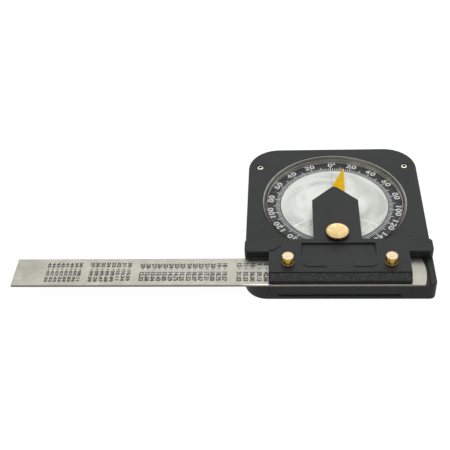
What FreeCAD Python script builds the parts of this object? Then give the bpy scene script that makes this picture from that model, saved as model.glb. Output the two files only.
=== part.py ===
import FreeCAD, Part
import math
import os
import re
import Sketcher

# Inclinometer lying on its back, in millimetres. The dial turns about Z, the back face is z = 0,
# +X runs to the right along the steel rule and -Y faces the straight reference edge.

# Dial capsule, from the lens inwards
lens_radius = 39.0
lens_wall = 2.0
lens_plate = 1.6
lens_round = 1.1
lens_inner_gap = 0.2
flange_width = 2.4
flange_rise = 0.6
cup_floor = 5.05
cup_recess_depth = 1.6
cup_recess_margin = 7.0
gasket_height = 0.3
band_margin = 0.3
band_width = 7.2
band_thickness = 1.45
disc_height = 1.7
disc_edge_round = 0.15
friction_ring_height = 0.5
friction_ring_width = 6.5
friction_ring_margin = 1.9

# Gaps and the overrun that the cuts share
cut_overrun = 2.0
seat_gap = 0.1
turning_gap = 0.3
sliding_gap = 0.05

# Case: walls round the dial well, two large far corners and a smaller one near the rule's long end
side_wall = 5.9
far_wall = 6.1
channel_wall = 2.3
channel_end_wall = 3.2
lip_thickness = 2.5
far_corner_radius = 17.5
long_end_corner_radius = 11.5
short_end_corner_radius = 3.0
case_edge_radius = 0.7
case_rim_width = 2.0

# Rear cover with its bosses
cover_thickness = 1.4
cover_fit_gap = 0.15
boss_wall = 1.6
boss_height = 2.4

# Pendulum, resting at the pointer's photographed angle
pivot_radius = 0.6
pivot_gap = 0.04
pivot_foot_gap = 0.2
bush_wall = 0.96
bush_depth = 2.0
bush_stand = 0.2
hub_neck_wall = 0.86
hub_flange_width = 0.7
hub_flange_height = 0.45
hub_height = 1.35
cap_wall = 0.66
cap_height = 0.35
plate_gap = 0.1
pointer_lap = 1.9
pointer_tail = 3.4
pointer_half_width = 6.1
pointer_thickness = 0.4
pointer_angle = 12.0
weight_start = 5.2
weight_length = 11.8
weight_half_angle = 17.0
weight_height = 0.95
arm_half_width = 1.4

# Carrier: bar, tongue and bridge in one moulding
bar_cover = 4.1
bar_lap = 0.45
bar_overhang = 0.15
bar_corner_radius = 2.4
bar_edge_radius = 0.6
tongue_gap = 1.0
tongue_thickness = 2.0
tongue_half_width = 12.3
tongue_shoulder = 4.6
tongue_apex = 7.8
tongue_apex_radius = 2.2
tongue_shoulder_radius = 1.0
lens_relief_gap = 0.5
bridge_inset = 12.4
bridge_front_gap = 0.6
bridge_slope_depth = 3.2
bridge_slope_drop = 3.3
bridge_step = 0.3
bridge_lift = 0.35
relief_half_width = 18.6
relief_margin = 0.8
relief_length = 8.1
relief_depth = 1.0
foot_reach = 1.0
foot_height = 1.3
foot_round = 0.5
rebate_height = 1.6
rebate_depth = 0.8

# Steel rule
rule_length = 207.5
rule_width = 19.05
rule_thickness = 1.0
rule_end_bulge = 1.45
channel_side_gap = 0.15
channel_end_gap = 1.3

# Hard-wearing insert in the front edge, with the magnet's slot between it and the cover
slot_wall = 0.4
slot_height = 1.8
slot_roof = 0.6
slot_depth = 3.6
slot_end_wall = 4.7
insert_fit_gap = 0.06
insert_margin = 2.0
magnet_setback = 0.2
magnet_height = 1.05
magnet_fit_gap = 0.06

# Thumbscrews
thread_radius = 1.5
thread_gap = 0.04
insert_wall = 0.96
pad_lip = 0.2
pad_gap = 0.12
pad_height = 0.75
pad_stem_radius = 0.6
pad_stem_length = 0.9
stem_gap = 0.06
contact_gap = 0.05
head_gap = 0.2
lock_setback = 3.5
lock_lift = 0.5
lock_head_radius = 6.0
lock_head_height = 2.1
lock_tooth_count = 38
lock_tooth_depth = 0.3
lock_tooth_half_width = 0.36
clamp_inset = 9.6
clamp_setback = 8.55
clamp_lift = 1.0
clamp_grip_radius = 3.0
clamp_grip_height = 3.9
clamp_collar_lip = 0.15
clamp_collar_height = 0.9
clamp_flute_count = 12
clamp_flute_radius = 0.55
clamp_top_chamfer = 0.25

# Screws that hold the case, the cover, the carrier and the insert
small_screw_radius = 1.0
small_head_lip = 1.0
small_head_height = 1.3
small_head_round = 0.4
rear_head_height = 0.8
head_recess = 0.05
socket_radius = 0.75
socket_share = 0.6
hole_gap = 0.12
thread_fit_gap = 0.05
corner_inset = 6.6
corner_setback = 16.4
corner_head_depth = 1.5
corner_tip_height = 1.5
rear_inset = 7.4
rear_setback = 8.7
rear_roof = 1.38
carrier_inset = 4.6
carrier_inner_spacing = 23.0
carrier_setback = 4.7
carrier_inner_setback = 6.7
carrier_roof = 2.5
edge_inset = 9.2
edge_setback = 2.4
edge_roof = 2.05

# Every size above goes into the sheet under its own name
known = {name: number for name, number in list(vars().items()) if isinstance(number, (int, float))}
doc = FreeCAD.newDocument("inclinometer")
sheet = doc.addObject("Spreadsheet::Sheet", "sizes")
for row, (name, number) in enumerate(known.items(), 1):
    sheet.set("A%d" % row, name)
    sheet.set("B%d" % row, repr(number))
    sheet.setAlias("B%d" % row, name)
doc.recompute()

# Sizes and places that follow from the others, as sums of their names
derived = {
    "flange_radius": "lens_radius + flange_width",
    "band_radius": "lens_radius - lens_wall - band_margin",
    "disc_radius": "band_radius - band_width",
    "friction_ring_outer": "flange_radius - friction_ring_margin",
    "friction_ring_inner": "friction_ring_outer - friction_ring_width",
    "cup_recess_radius": "friction_ring_inner - cup_recess_margin",
    "case_half_width": "flange_radius + turning_gap + side_wall",
    "case_far_reach": "flange_radius + turning_gap + far_wall",
    "rule_setback": "flange_radius + turning_gap + channel_wall + channel_side_gap",
    "case_front_reach": "rule_setback + rule_width",
    "rule_right": "case_half_width - channel_end_wall - channel_end_gap - rule_end_bulge",
    "boss_radius": "small_screw_radius + boss_wall",
    "bush_radius": "pivot_radius + pivot_gap + bush_wall",
    "hub_neck_radius": "pivot_radius + pivot_gap + hub_neck_wall",
    "hub_radius": "hub_neck_radius + hub_flange_width",
    "cap_radius": "pivot_radius + pivot_gap + cap_wall",
    "pointer_length": "disc_radius + pointer_lap",
    "weight_end": "weight_start + weight_length",
    "bar_back": "lens_radius - bar_cover",
    "bar_front": "rule_setback + bar_lap",
    "bar_reach": "case_half_width + bar_overhang",
    "bridge_half_width": "case_half_width - bridge_inset",
    "slot_half_length": "bridge_half_width - slot_end_wall",
    "insert_depth": "slot_depth + edge_setback + insert_margin",
    "insert_radius": "thread_radius + thread_gap + insert_wall",
    "pad_radius": "thread_radius + pad_lip",
    "lock_place": "bar_back - lock_setback",
    "relief_far": "lock_place + lock_head_radius + relief_margin",
    "clamp_spacing": "bridge_half_width - clamp_inset",
    "clamp_place": "rule_setback + clamp_setback",
    "clamp_collar_radius": "clamp_grip_radius + clamp_collar_lip",
    "small_head_radius": "small_screw_radius + small_head_lip",
    "corner_x": "case_half_width - corner_inset",
    "corner_y": "case_far_reach - corner_setback",
    "rear_x": "case_half_width - rear_inset",
    "rear_y": "case_front_reach - rear_setback",
    "carrier_x": "case_half_width - carrier_inset",
    "carrier_y": "bar_back + carrier_setback",
    "carrier_inner_y": "bar_back + carrier_inner_setback",
    "edge_x": "bridge_half_width - edge_inset",
    "edge_y": "case_front_reach - slot_depth - edge_setback",
    "cup_under": "cover_thickness + friction_ring_height + sliding_gap",
    "cup_top": "cup_under + cup_floor",
    "flange_top": "cup_top + flange_rise",
    "lip_under": "flange_top + turning_gap",
    "case_top": "lip_under + lip_thickness",
    "disc_top": "cup_top + disc_height",
    "hub_under": "disc_top + bush_stand + plate_gap",
    "hub_flange_top": "hub_under + hub_flange_height",
    "hub_top": "hub_under + hub_height",
    "cap_under": "hub_top + plate_gap",
    "cap_top": "cap_under + cap_height",
    "lens_under": "cap_top + lens_inner_gap",
    "lens_top": "lens_under + lens_plate",
    "tongue_under": "lens_top + tongue_gap",
    "bar_top": "tongue_under + tongue_thickness",
    "bridge_under": "case_top + bridge_lift",
    "channel_floor": "case_top - rule_thickness - sliding_gap",
    "rule_under": "channel_floor + sliding_gap / 2",
    "rule_top": "rule_under + rule_thickness",
    "slot_bottom": "cover_thickness + slot_wall",
    "insert_under": "slot_bottom + slot_height + slot_roof + insert_fit_gap",
    "hidden_head_top": "cover_thickness + small_head_height",
    "carrier_screw_top": "bar_top - carrier_roof",
    "edge_screw_top": "channel_floor - edge_roof",
    "rear_screw_top": "channel_floor - rear_roof",
    "corner_head_under": "case_top - corner_head_depth",
    "rear_head_top": "rear_head_height + head_recess",
    "lock_head_under": "bar_top + head_gap",
    "lock_head_top": "lock_head_under + lock_head_height",
    "clamp_head_under": "bar_top + head_gap",
    "clamp_collar_top": "clamp_head_under + clamp_collar_height",
    "clamp_top": "clamp_collar_top + clamp_grip_height",
    "bow_radius": "(rule_width ^ 2 / 4 + rule_end_bulge ^ 2) / (2 * rule_end_bulge)",
}


def bind(text):
    """Turn a sum of names into an expression on the sheet, with the derived names written out."""
    def term(match):
        name = match.group(0)
        if name in derived:
            return "(" + bind(derived[name]) + ")"
        return "sizes." + name if name in known else name
    return re.sub(r"[a-z][a-z0-9_]*", term, text)


def value(text):
    """Value of a sum of size names, for first places and for choosing edges."""
    result = sheet.evalExpression(bind(text))
    return float(getattr(result, "Value", result))


def new_body(label):
    body = doc.addObject("PartDesign::Body", label)
    body.Label = label
    return body


def new_sketch(body, name, role="XY_Plane", offset="0"):
    """Sketch on one of the body's own origin planes, offset along its normal."""
    sketch = body.newObject("Sketcher::SketchObject", name)
    support = [item for item in body.Origin.OriginFeatures if item.Role == role][0]
    sketch.AttachmentSupport = (support, [""])
    sketch.MapMode = "FlatFace"
    if offset != "0":
        sketch.setExpression("AttachmentOffset.Base.z", bind(offset))
    return sketch


def pin(sketch, geometry, place, x, y):
    """Dimension one point of a sketch from the origin."""
    for kind, text in (("DistanceX", x), ("DistanceY", y)):
        index = sketch.addConstraint(Sketcher.Constraint(kind, -1, 1, geometry, place, value(text)))
        sketch.setExpression("Constraints[%d]" % index, bind(text))


def polygon(sketch, points):
    """Closed outline with every corner dimensioned."""
    spots = [FreeCAD.Vector(value(x), value(y), 0) for x, y in points]
    count = len(spots)
    first = sketch.GeometryCount
    for i in range(count):
        sketch.addGeometry(Part.LineSegment(spots[i], spots[(i + 1) % count]), False)
    for i in range(count):
        after = first + (i + 1) % count
        sketch.addConstraint(Sketcher.Constraint("Coincident", first + i, 2, after, 1))
    for i in range(count):
        pin(sketch, first + i, 1, points[i][0], points[i][1])


def rectangle(sketch, left, right, low, high):
    polygon(sketch, [(left, low), (right, low), (right, high), (left, high)])


def circle(sketch, x, y, radius):
    spot = FreeCAD.Vector(value(x), value(y), 0)
    ring = sketch.addGeometry(Part.Circle(spot, FreeCAD.Vector(0, 0, 1), value(radius)), False)
    pin(sketch, ring, 3, x, y)
    index = sketch.addConstraint(Sketcher.Constraint("Radius", ring, value(radius)))
    sketch.setExpression("Constraints[%d]" % index, bind(radius))
    return ring


def volume(body):
    return body.Shape.Volume if not body.Shape.isNull() else 0


def pad(body, sketch, length, reverse=False, middle=False):
    before = volume(body)
    feature = body.newObject("PartDesign::Pad", sketch.Name + "_pad")
    feature.Profile = sketch
    feature.setExpression("Length", bind(length))
    feature.Reversed = reverse
    feature.Midplane = middle
    doc.recompute()
    if volume(body) <= before:
        raise ValueError("%s adds nothing" % feature.Name)
    return feature


def pocket(body, sketch, length, reverse=False, middle=False):
    before = volume(body)
    feature = body.newObject("PartDesign::Pocket", sketch.Name + "_cut")
    feature.Profile = sketch
    feature.setExpression("Length", bind(length))
    feature.Reversed = reverse
    feature.Midplane = middle
    doc.recompute()
    if volume(body) >= before:
        raise ValueError("%s cuts nothing" % feature.Name)
    return feature


def revolve(body, sketch):
    feature = body.newObject("PartDesign::Revolution", sketch.Name + "_turn")
    feature.Profile = sketch
    feature.ReferenceAxis = (sketch, ["V_Axis"])
    feature.Angle = 360
    doc.recompute()
    return feature


def turned(label, profile):
    """Turned piece: half section given as radius and height, revolved about its own Z."""
    body = new_body(label)
    sketch = new_sketch(body, label + "_section", "XZ_Plane")
    polygon(sketch, profile)
    revolve(body, sketch)
    return body


def edges(feature, test):
    """Names of the feature's edges whose two ends and middle pass the test."""
    names = []
    for number, edge in enumerate(feature.Shape.Edges, 1):
        spots = [edge.Vertexes[0].Point, edge.Vertexes[-1].Point, edge.valueAt(
            (edge.FirstParameter + edge.LastParameter) / 2)]
        if test(spots, edge):
            names.append("Edge%d" % number)
    return names


def soften(body, kind, radius, test):
    """Fillet or chamfer on the edges of the body's tip that pass the test."""
    base = body.Tip
    names = edges(base, test)
    if not names:
        raise ValueError("no edge found for %s on %s" % (kind, body.Label))
    feature = body.newObject("PartDesign::" + kind, body.Label + "_" + kind.lower())
    feature.Base = (base, names)
    feature.setExpression("Radius" if kind == "Fillet" else "Size", bind(radius))
    doc.recompute()
    return feature


def same(a, b):
    """Equal to a thousandth."""
    return round(a - b, 3) == 0


def upright_at(x, y):
    """Test for the vertical edge over one place."""
    left = value(x)
    deep = value(y)

    def test(spots, edge):
        return all(same(p.x, left) and same(p.y, deep) for p in spots)
    return test


def at_height(z):
    level = value(z)

    def test(spots, edge):
        return all(same(p.z, level) for p in spots)
    return test


def outline(body, name, inset, offset):
    """Case outline moved in by the inset: four sides joined by arcs of the corners' own radii."""
    sketch = new_sketch(body, name, "XY_Plane", offset)
    right = "(case_half_width - %s)" % inset
    left = "(%s - case_half_width)" % inset
    far = "(case_far_reach - %s)" % inset
    front = "(%s - case_front_reach)" % inset
    wide = "(far_corner_radius - %s)" % inset
    long_end = "(long_end_corner_radius - %s)" % inset
    short_end = "(short_end_corner_radius - %s)" % inset
    sides = [((left + " + " + long_end, front), (right + " - " + short_end, front)),
             ((right, front + " + " + short_end), (right, far + " - " + wide)),
             ((right + " - " + wide, far), (left + " + " + wide, far)),
             ((left, far + " - " + wide), (left, front + " + " + long_end))]
    radii = [short_end, wide, wide, long_end]
    centres = [(right + " - " + short_end, front + " + " + short_end), (right + " - " + wide, far + " - " + wide),
               (left + " + " + wide, far + " - " + wide), (left + " + " + long_end, front + " + " + long_end)]
    spot = [[FreeCAD.Vector(value(x), value(y), 0) for x, y in side] for side in sides]
    for start, end in spot:
        sketch.addGeometry(Part.LineSegment(start, end), False)
    for i in range(4):
        middle = FreeCAD.Vector(value(centres[i][0]), value(centres[i][1]), 0)
        turn = math.radians(90 * i - 45)
        out = FreeCAD.Vector(math.cos(turn), math.sin(turn), 0) * value(radii[i])
        arc = sketch.addGeometry(Part.Arc(spot[i][1], middle + out, spot[(i + 1) % 4][0]), False)
        sketch.addConstraint(Sketcher.Constraint("Coincident", i, 2, arc, 1))
        sketch.addConstraint(Sketcher.Constraint("Coincident", arc, 2, (i + 1) % 4, 1))
    for i in range(4):
        pin(sketch, i, 1, sides[i][0][0], sides[i][0][1])
        pin(sketch, i, 2, sides[i][1][0], sides[i][1][1])
        index = sketch.addConstraint(Sketcher.Constraint("Radius", 4 + i, value(radii[i])))
        sketch.setExpression("Constraints[%d]" % index, bind(radii[i]))
    return sketch


CORNER_PLACES = [("corner_x", "corner_y"), ("-corner_x", "corner_y")]
REAR_PLACES = [("rear_x", "-rear_y"), ("-rear_x", "-rear_y")]
CARRIER_PLACES = [("carrier_x", "-carrier_y"), ("carrier_inner_spacing", "-carrier_inner_y"),
                  ("-carrier_inner_spacing", "-carrier_inner_y"), ("-carrier_x", "-carrier_y")]
EDGE_PLACES = [("edge_x", "-edge_y"), ("-edge_x", "-edge_y")]
CLAMP_PLACES = [("-clamp_spacing", "-clamp_place"), ("clamp_spacing", "-clamp_place")]


def holes(body, name, places, radius, bottom, height):
    """Row of upright round holes from one level upwards."""
    sketch = new_sketch(body, name, "XY_Plane", bottom)
    for x, y in places:
        circle(sketch, x, y, radius)
    return pocket(body, sketch, height, reverse=True)


# Case: outline with rounded corners, dial well from behind, a lip in front that the lens passes,
# a rule channel along the front, a notch for the insert and a slot for the magnet.
case = new_body("case_body")
case_outline = outline(case, "case_outline", "0", "0")
pad(case, case_outline, "case_top")
soften(case, "Fillet", "case_edge_radius",
       lambda s, e: at_height("case_top")(s, e) or at_height("0")(s, e))

rebate = outline(case, "cover_rebate", "case_rim_width", "0")
pocket(case, rebate, "cover_thickness", reverse=True)

well = new_sketch(case, "dial_well")
circle(well, "0", "0", "flange_radius + turning_gap")
pocket(case, well, "lip_under", reverse=True)
mouth = new_sketch(case, "dial_mouth")
circle(mouth, "0", "0", "lens_radius + turning_gap")
pocket(case, mouth, "case_top + cut_overrun", reverse=True)

channel = new_sketch(case, "rule_channel", "XY_Plane", "channel_floor")
rectangle(channel, "-case_half_width - cut_overrun", "case_half_width - channel_end_wall",
          "-case_front_reach - cut_overrun", "-rule_setback + channel_side_gap")
pocket(case, channel, "rule_thickness + cut_overrun", reverse=True)

notch = new_sketch(case, "insert_notch", "XY_Plane", "insert_under - insert_fit_gap")
rectangle(notch, "-bridge_half_width - insert_fit_gap", "bridge_half_width + insert_fit_gap",
          "-case_front_reach - cut_overrun", "insert_depth - case_front_reach + insert_fit_gap")
pocket(case, notch, "channel_floor - insert_under + cut_overrun", reverse=True)

slot = new_sketch(case, "magnet_slot", "XZ_Plane", "case_front_reach + cut_overrun")
rectangle(slot, "-slot_half_length", "slot_half_length", "slot_bottom", "slot_bottom + slot_height")
pocket(case, slot, "slot_depth + cut_overrun")

holes(case, "corner_through", CORNER_PLACES, "small_screw_radius + hole_gap", "0", "case_top + cut_overrun")
holes(case, "corner_boss_seat", CORNER_PLACES, "boss_radius + hole_gap", "0", "cover_thickness + boss_height + hole_gap")
holes(case, "corner_head_seat", CORNER_PLACES, "small_head_radius + hole_gap",
      "corner_head_under", "corner_head_depth + cut_overrun")
holes(case, "rear_pilot", REAR_PLACES, "small_screw_radius + thread_fit_gap", "0",
      "rear_screw_top + hole_gap")
holes(case, "carrier_through", CARRIER_PLACES, "small_screw_radius + hole_gap", "0", "case_top + cut_overrun")
holes(case, "edge_through", EDGE_PLACES, "small_screw_radius + hole_gap", "0", "case_top + cut_overrun")
holes(case, "hidden_head_seats", CARRIER_PLACES + EDGE_PLACES, "small_head_radius + hole_gap", "0",
      "hidden_head_top")

# Rear cover in the rebate, with two hollow bosses for the corner screws
cover = new_body("rear_cover")
cover_outline = outline(cover, "cover_outline", "(case_rim_width + cover_fit_gap)", "0")
pad(cover, cover_outline, "cover_thickness")
bosses = new_sketch(cover, "cover_bosses", "XY_Plane", "cover_thickness")
for x, y in CORNER_PLACES:
    circle(bosses, x, y, "boss_radius")
pad(cover, bosses, "boss_height")
holes(cover, "boss_bores", CORNER_PLACES, "small_screw_radius + thread_fit_gap", "0",
      "cover_thickness + boss_height + cut_overrun")
holes(cover, "rear_clearance", REAR_PLACES, "small_screw_radius + hole_gap", "0",
      "cover_thickness + cut_overrun")
holes(cover, "rear_head_seat", REAR_PLACES, "small_head_radius + hole_gap", "0",
      "rear_head_top")

# Ring of felt between the cover and the dial cup
felt = turned("friction_ring", [
    ("friction_ring_inner", "cover_thickness"),
    ("friction_ring_outer", "cover_thickness"),
    ("friction_ring_outer", "cover_thickness + friction_ring_height"),
    ("friction_ring_inner", "cover_thickness + friction_ring_height")])

# Dial cup with its flange under the case's lip, hollow behind
cup = turned("dial_cup", [
    ("0", "cup_under + cup_recess_depth"),
    ("cup_recess_radius", "cup_under + cup_recess_depth"),
    ("cup_recess_radius", "cup_under"),
    ("flange_radius", "cup_under"),
    ("flange_radius", "flange_top"),
    ("lens_radius + seat_gap", "flange_top"),
    ("lens_radius + seat_gap", "cup_top"),
    ("bush_radius + seat_gap", "cup_top"),
    ("bush_radius + seat_gap", "cup_top - bush_depth"),
    ("0", "cup_top - bush_depth")])

scale_ring = turned("scale_ring", [
    ("disc_radius + seat_gap", "cup_top"),
    ("band_radius", "cup_top"),
    ("band_radius", "cup_top + band_thickness"),
    ("disc_radius + seat_gap", "cup_top + band_thickness")])

disc = turned("dial_disc", [
    ("bush_radius + seat_gap", "cup_top"),
    ("disc_radius", "cup_top"),
    ("disc_radius", "disc_top - disc_edge_round"),
    ("disc_radius - disc_edge_round", "disc_top"),
    ("bush_radius + seat_gap", "disc_top")])

bush = turned("pivot_bush", [
    ("pivot_radius + pivot_gap", "cup_top - bush_depth"),
    ("bush_radius", "cup_top - bush_depth"),
    ("bush_radius", "disc_top + bush_stand"),
    ("pivot_radius + pivot_gap", "disc_top + bush_stand")])

gasket = turned("lens_gasket", [
    ("lens_radius - lens_wall", "cup_top"),
    ("lens_radius - seat_gap", "cup_top"),
    ("lens_radius - seat_gap", "cup_top + gasket_height"),
    ("lens_radius - lens_wall", "cup_top + gasket_height")])

# Clear lens: flat front, rounded shoulder, wall down to the gasket
lens = turned("lens", [
    ("0", "lens_under"),
    ("lens_radius - lens_wall", "lens_under"),
    ("lens_radius - lens_wall", "cup_top + gasket_height"),
    ("lens_radius", "cup_top + gasket_height"),
    ("lens_radius", "lens_top"),
    ("0", "lens_top")])
soften(lens, "Fillet", "lens_round",
       lambda s, e: at_height("lens_top")(s, e) and same(math.hypot(s[0].x, s[0].y), value("lens_radius")))

# Pendulum: pin fixed in the bush, hub that turns on it, pointer above and weight below
pivot = turned("pivot_pin", [
    ("0", "cup_top - bush_depth + pivot_foot_gap"),
    ("pivot_radius", "cup_top - bush_depth + pivot_foot_gap"),
    ("pivot_radius", "cap_top"),
    ("0", "cap_top")])
cap = turned("pivot_cap", [
    ("pivot_radius + pivot_gap", "cap_under"),
    ("cap_radius", "cap_under"),
    ("cap_radius", "cap_top"),
    ("pivot_radius + pivot_gap", "cap_top")])
hub = turned("pointer_hub", [
    ("pivot_radius + pivot_gap", "hub_under"),
    ("hub_radius", "hub_under"),
    ("hub_radius", "hub_flange_top"),
    ("hub_neck_radius", "hub_flange_top"),
    ("hub_neck_radius", "hub_top"),
    ("pivot_radius + pivot_gap", "hub_top")])

pointer = new_body("pointer")
pointer_shape = new_sketch(pointer, "pointer_outline", "XY_Plane", "hub_flange_top")
polygon(pointer_shape, [
    ("0", "pointer_length"),
    ("-pointer_half_width", "0"),
    ("-pointer_half_width", "-pointer_tail"),
    ("pointer_half_width", "-pointer_tail"),
    ("pointer_half_width", "0")])
circle(pointer_shape, "0", "0", "hub_neck_radius + thread_fit_gap")
pad(pointer, pointer_shape, "pointer_thickness")
pointer.setExpression("Placement.Rotation.Angle", bind("-pointer_angle"))

weight = new_body("pendulum_weight")
arm = new_sketch(weight, "weight_arm", "XY_Plane", "hub_under")
rectangle(arm, "-arm_half_width", "arm_half_width", "-(weight_start + weight_end) / 2", "-hub_radius - seat_gap")
pad(weight, arm, "hub_flange_height")
sector = new_sketch(weight, "weight_sector", "XY_Plane", "hub_under")
polygon(sector, [
    ("-weight_end * sin(weight_half_angle)", "-weight_end * cos(weight_half_angle)"),
    ("-weight_end * sin(weight_half_angle / 2)", "-weight_end * cos(weight_half_angle / 2)"),
    ("0", "-weight_end"),
    ("weight_end * sin(weight_half_angle / 2)", "-weight_end * cos(weight_half_angle / 2)"),
    ("weight_end * sin(weight_half_angle)", "-weight_end * cos(weight_half_angle)"),
    ("weight_start * sin(weight_half_angle)", "-weight_start * cos(weight_half_angle)"),
    ("-weight_start * sin(weight_half_angle)", "-weight_start * cos(weight_half_angle)")])
pad(weight, sector, "weight_height")
weight.setExpression("Placement.Rotation.Angle", bind("-pointer_angle"))

# Insert in the front edge, with the rule lying on it
insert = new_body("edge_insert")
insert_outline = new_sketch(insert, "insert_outline", "XY_Plane", "insert_under")
rectangle(insert_outline, "-bridge_half_width", "bridge_half_width", "-case_front_reach", "insert_depth - case_front_reach")
pad(insert, insert_outline, "channel_floor - insert_under")
holes(insert, "insert_pilot", EDGE_PLACES, "small_screw_radius + thread_fit_gap",
      "insert_under", "edge_screw_top + hole_gap - insert_under")

magnet = new_body("magnet_strip")
magnet_outline = new_sketch(magnet, "magnet_outline", "XZ_Plane", "case_front_reach - magnet_setback")
rectangle(magnet_outline, "magnet_fit_gap - slot_half_length", "slot_half_length - magnet_fit_gap",
          "slot_bottom + magnet_fit_gap", "slot_bottom + magnet_fit_gap + magnet_height")
pad(magnet, magnet_outline, "slot_depth - magnet_setback - magnet_fit_gap", reverse=True)

# Carrier: bar across the case, tongue over the lens and bridge over the rule, in one moulding.
# Its underside clears the lens, its front wall ends in a foot at the long end and in a rebate at
# the short end, its front slopes down to the rule and a ramp below the lock screw clears a finger.
carrier = new_body("carrier")
bar = new_sketch(carrier, "bar_outline", "XY_Plane", "case_top")
rectangle(bar, "-bar_reach", "bar_reach", "-bar_front", "-bar_back")
pad(carrier, bar, "bar_top - case_top")
soften(carrier, "Fillet", "bar_corner_radius",
       lambda s, e: any(upright_at(x, y)(s, e) for x in ("bar_reach", "-bar_reach") for y in ("-bar_front", "-bar_back")))
foot = new_sketch(carrier, "bar_foot", "XY_Plane", "case_top + seat_gap")
rectangle(foot, "bar_corner_radius - bar_reach", "-bridge_half_width",
          "-bar_front - foot_reach", "-bar_front + rebate_depth")
pad(carrier, foot, "foot_height - seat_gap")
soften(carrier, "Fillet", "foot_round",
       lambda s, e: (at_height("case_top + foot_height")(s, e)
                     and all(same(p.y, value("-bar_front - foot_reach")) for p in s)))
short_rebate = new_sketch(carrier, "short_end_rebate", "XY_Plane", "case_top - cut_overrun")
rectangle(short_rebate, "-case_half_width - cut_overrun", "case_half_width - channel_end_wall",
          "-bar_front - cut_overrun", "-rule_setback + channel_side_gap")
pocket(carrier, short_rebate, "cut_overrun + seat_gap", reverse=True)
wall_rebate = new_sketch(carrier, "wall_rebate", "XY_Plane", "case_top - cut_overrun")
rectangle(wall_rebate, "bridge_half_width", "rule_right + rule_end_bulge", "-bar_front - cut_overrun",
          "rebate_depth - bar_front")
pocket(carrier, wall_rebate, "cut_overrun + rebate_height", reverse=True)

bridge = new_sketch(carrier, "bridge_outline", "XY_Plane", "bridge_under")
rectangle(bridge, "-bridge_half_width", "bridge_half_width", "bridge_front_gap - case_front_reach", "rebate_depth - bar_front")
pad(carrier, bridge, "bar_top - bridge_under")
slope = new_sketch(carrier, "bridge_slope", "YZ_Plane")
polygon(slope, [
    ("bridge_front_gap - case_front_reach + bridge_slope_depth", "bar_top - bridge_step"),
    ("bridge_front_gap - case_front_reach", "bar_top - bridge_slope_drop"),
    ("bridge_front_gap - case_front_reach - cut_overrun", "bar_top - bridge_slope_drop"),
    ("bridge_front_gap - case_front_reach - cut_overrun", "bar_top + cut_overrun"),
    ("bridge_front_gap - case_front_reach + bridge_slope_depth", "bar_top + cut_overrun")])
pocket(carrier, slope, "2 * bridge_half_width + 2 * cut_overrun", middle=True)

tongue = new_sketch(carrier, "tongue_outline", "XY_Plane", "tongue_under")
polygon(tongue, [
    ("-tongue_half_width", "-bar_back - rebate_depth"),
    ("tongue_half_width", "-bar_back - rebate_depth"),
    ("tongue_half_width", "-tongue_shoulder"),
    ("0", "tongue_apex"),
    ("-tongue_half_width", "-tongue_shoulder")])
pad(carrier, tongue, "tongue_thickness")
soften(carrier, "Fillet", "tongue_apex_radius", upright_at("0", "tongue_apex"))
soften(carrier, "Fillet", "tongue_shoulder_radius",
       lambda s, e: (upright_at("tongue_half_width", "-tongue_shoulder")(s, e)
                     or upright_at("-tongue_half_width", "-tongue_shoulder")(s, e)))
lens_relief = new_sketch(carrier, "lens_relief", "XY_Plane", "case_top - cut_overrun")
circle(lens_relief, "0", "0", "lens_radius + lens_relief_gap")
pocket(carrier, lens_relief, "tongue_under - case_top + cut_overrun", reverse=True)
ramp = new_sketch(carrier, "finger_ramp", "YZ_Plane")
polygon(ramp, [
    ("-relief_far", "bar_top - relief_depth"),
    ("-relief_far", "bar_top + cut_overrun"),
    ("-relief_far - relief_length", "bar_top + cut_overrun"),
    ("-relief_far - relief_length", "bar_top")])
pocket(carrier, ramp, "2 * relief_half_width", middle=True)

LOCK_PLACE = [("0", "-lock_place")]
holes(carrier, "lock_bore", LOCK_PLACE, "insert_radius + thread_fit_gap", "case_top", "bar_top + cut_overrun")
holes(carrier, "clamp_bores", CLAMP_PLACES, "insert_radius + thread_fit_gap", "case_top", "bar_top + cut_overrun")
holes(carrier, "carrier_pilots", CARRIER_PLACES, "small_screw_radius + thread_fit_gap", "case_top",
      "carrier_screw_top + hole_gap - case_top")


def behind_tongue(spots):
    """Bar's rear top edge and its rounded corners, beside the tongue."""
    return all(round(p.y - value("-bar_back - bar_corner_radius"), 3) >= 0
               and round(p.y - value("-bar_back"), 3) <= 0
               and round(abs(p.x) - value("tongue_half_width"), 3) >= 0 for p in spots)


def at_bar_end(spots):
    return all(same(abs(p.x), value("bar_reach")) for p in spots)


soften(carrier, "Fillet", "bar_edge_radius",
       lambda s, e: at_height("bar_top")(s, e) and (behind_tongue(s) or at_bar_end(s)))


def tapped_insert(label, under, thread_under):
    """Pressed brass insert, flush with the carrier's top: thread above, pocket for the pad below."""
    return turned(label, [
        ("pad_radius + pad_gap", under),
        ("insert_radius", under),
        ("insert_radius", "bar_top"),
        ("thread_radius + thread_gap", "bar_top"),
        ("thread_radius + thread_gap", thread_under),
        ("pad_radius + pad_gap", thread_under)])


def pressure_pad(label, under):
    """Nylon pad that bears on what the screw locks, with a stem that turns in the screw's end."""
    return turned(label, [
        ("0", under),
        ("pad_radius", under),
        ("pad_radius", under + " + pad_height"),
        ("pad_stem_radius", under + " + pad_height"),
        ("pad_stem_radius", under + " + pad_height + pad_stem_length"),
        ("0", under + " + pad_height + pad_stem_length")])


def shank(under, top):
    """Lower half section of a thumbscrew: bore for the pad's stem, then the thread's envelope."""
    start = under + " + pad_height + sliding_gap"
    roof = under + " + pad_height + pad_stem_length + stem_gap"
    return [("0", roof),
            ("pad_stem_radius + stem_gap", roof),
            ("pad_stem_radius + stem_gap", start),
            ("thread_radius", start),
            ("thread_radius", top)]


def place(body, x, y):
    body.setExpression("Placement.Base.x", bind(x))
    body.setExpression("Placement.Base.y", bind(y))


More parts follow.
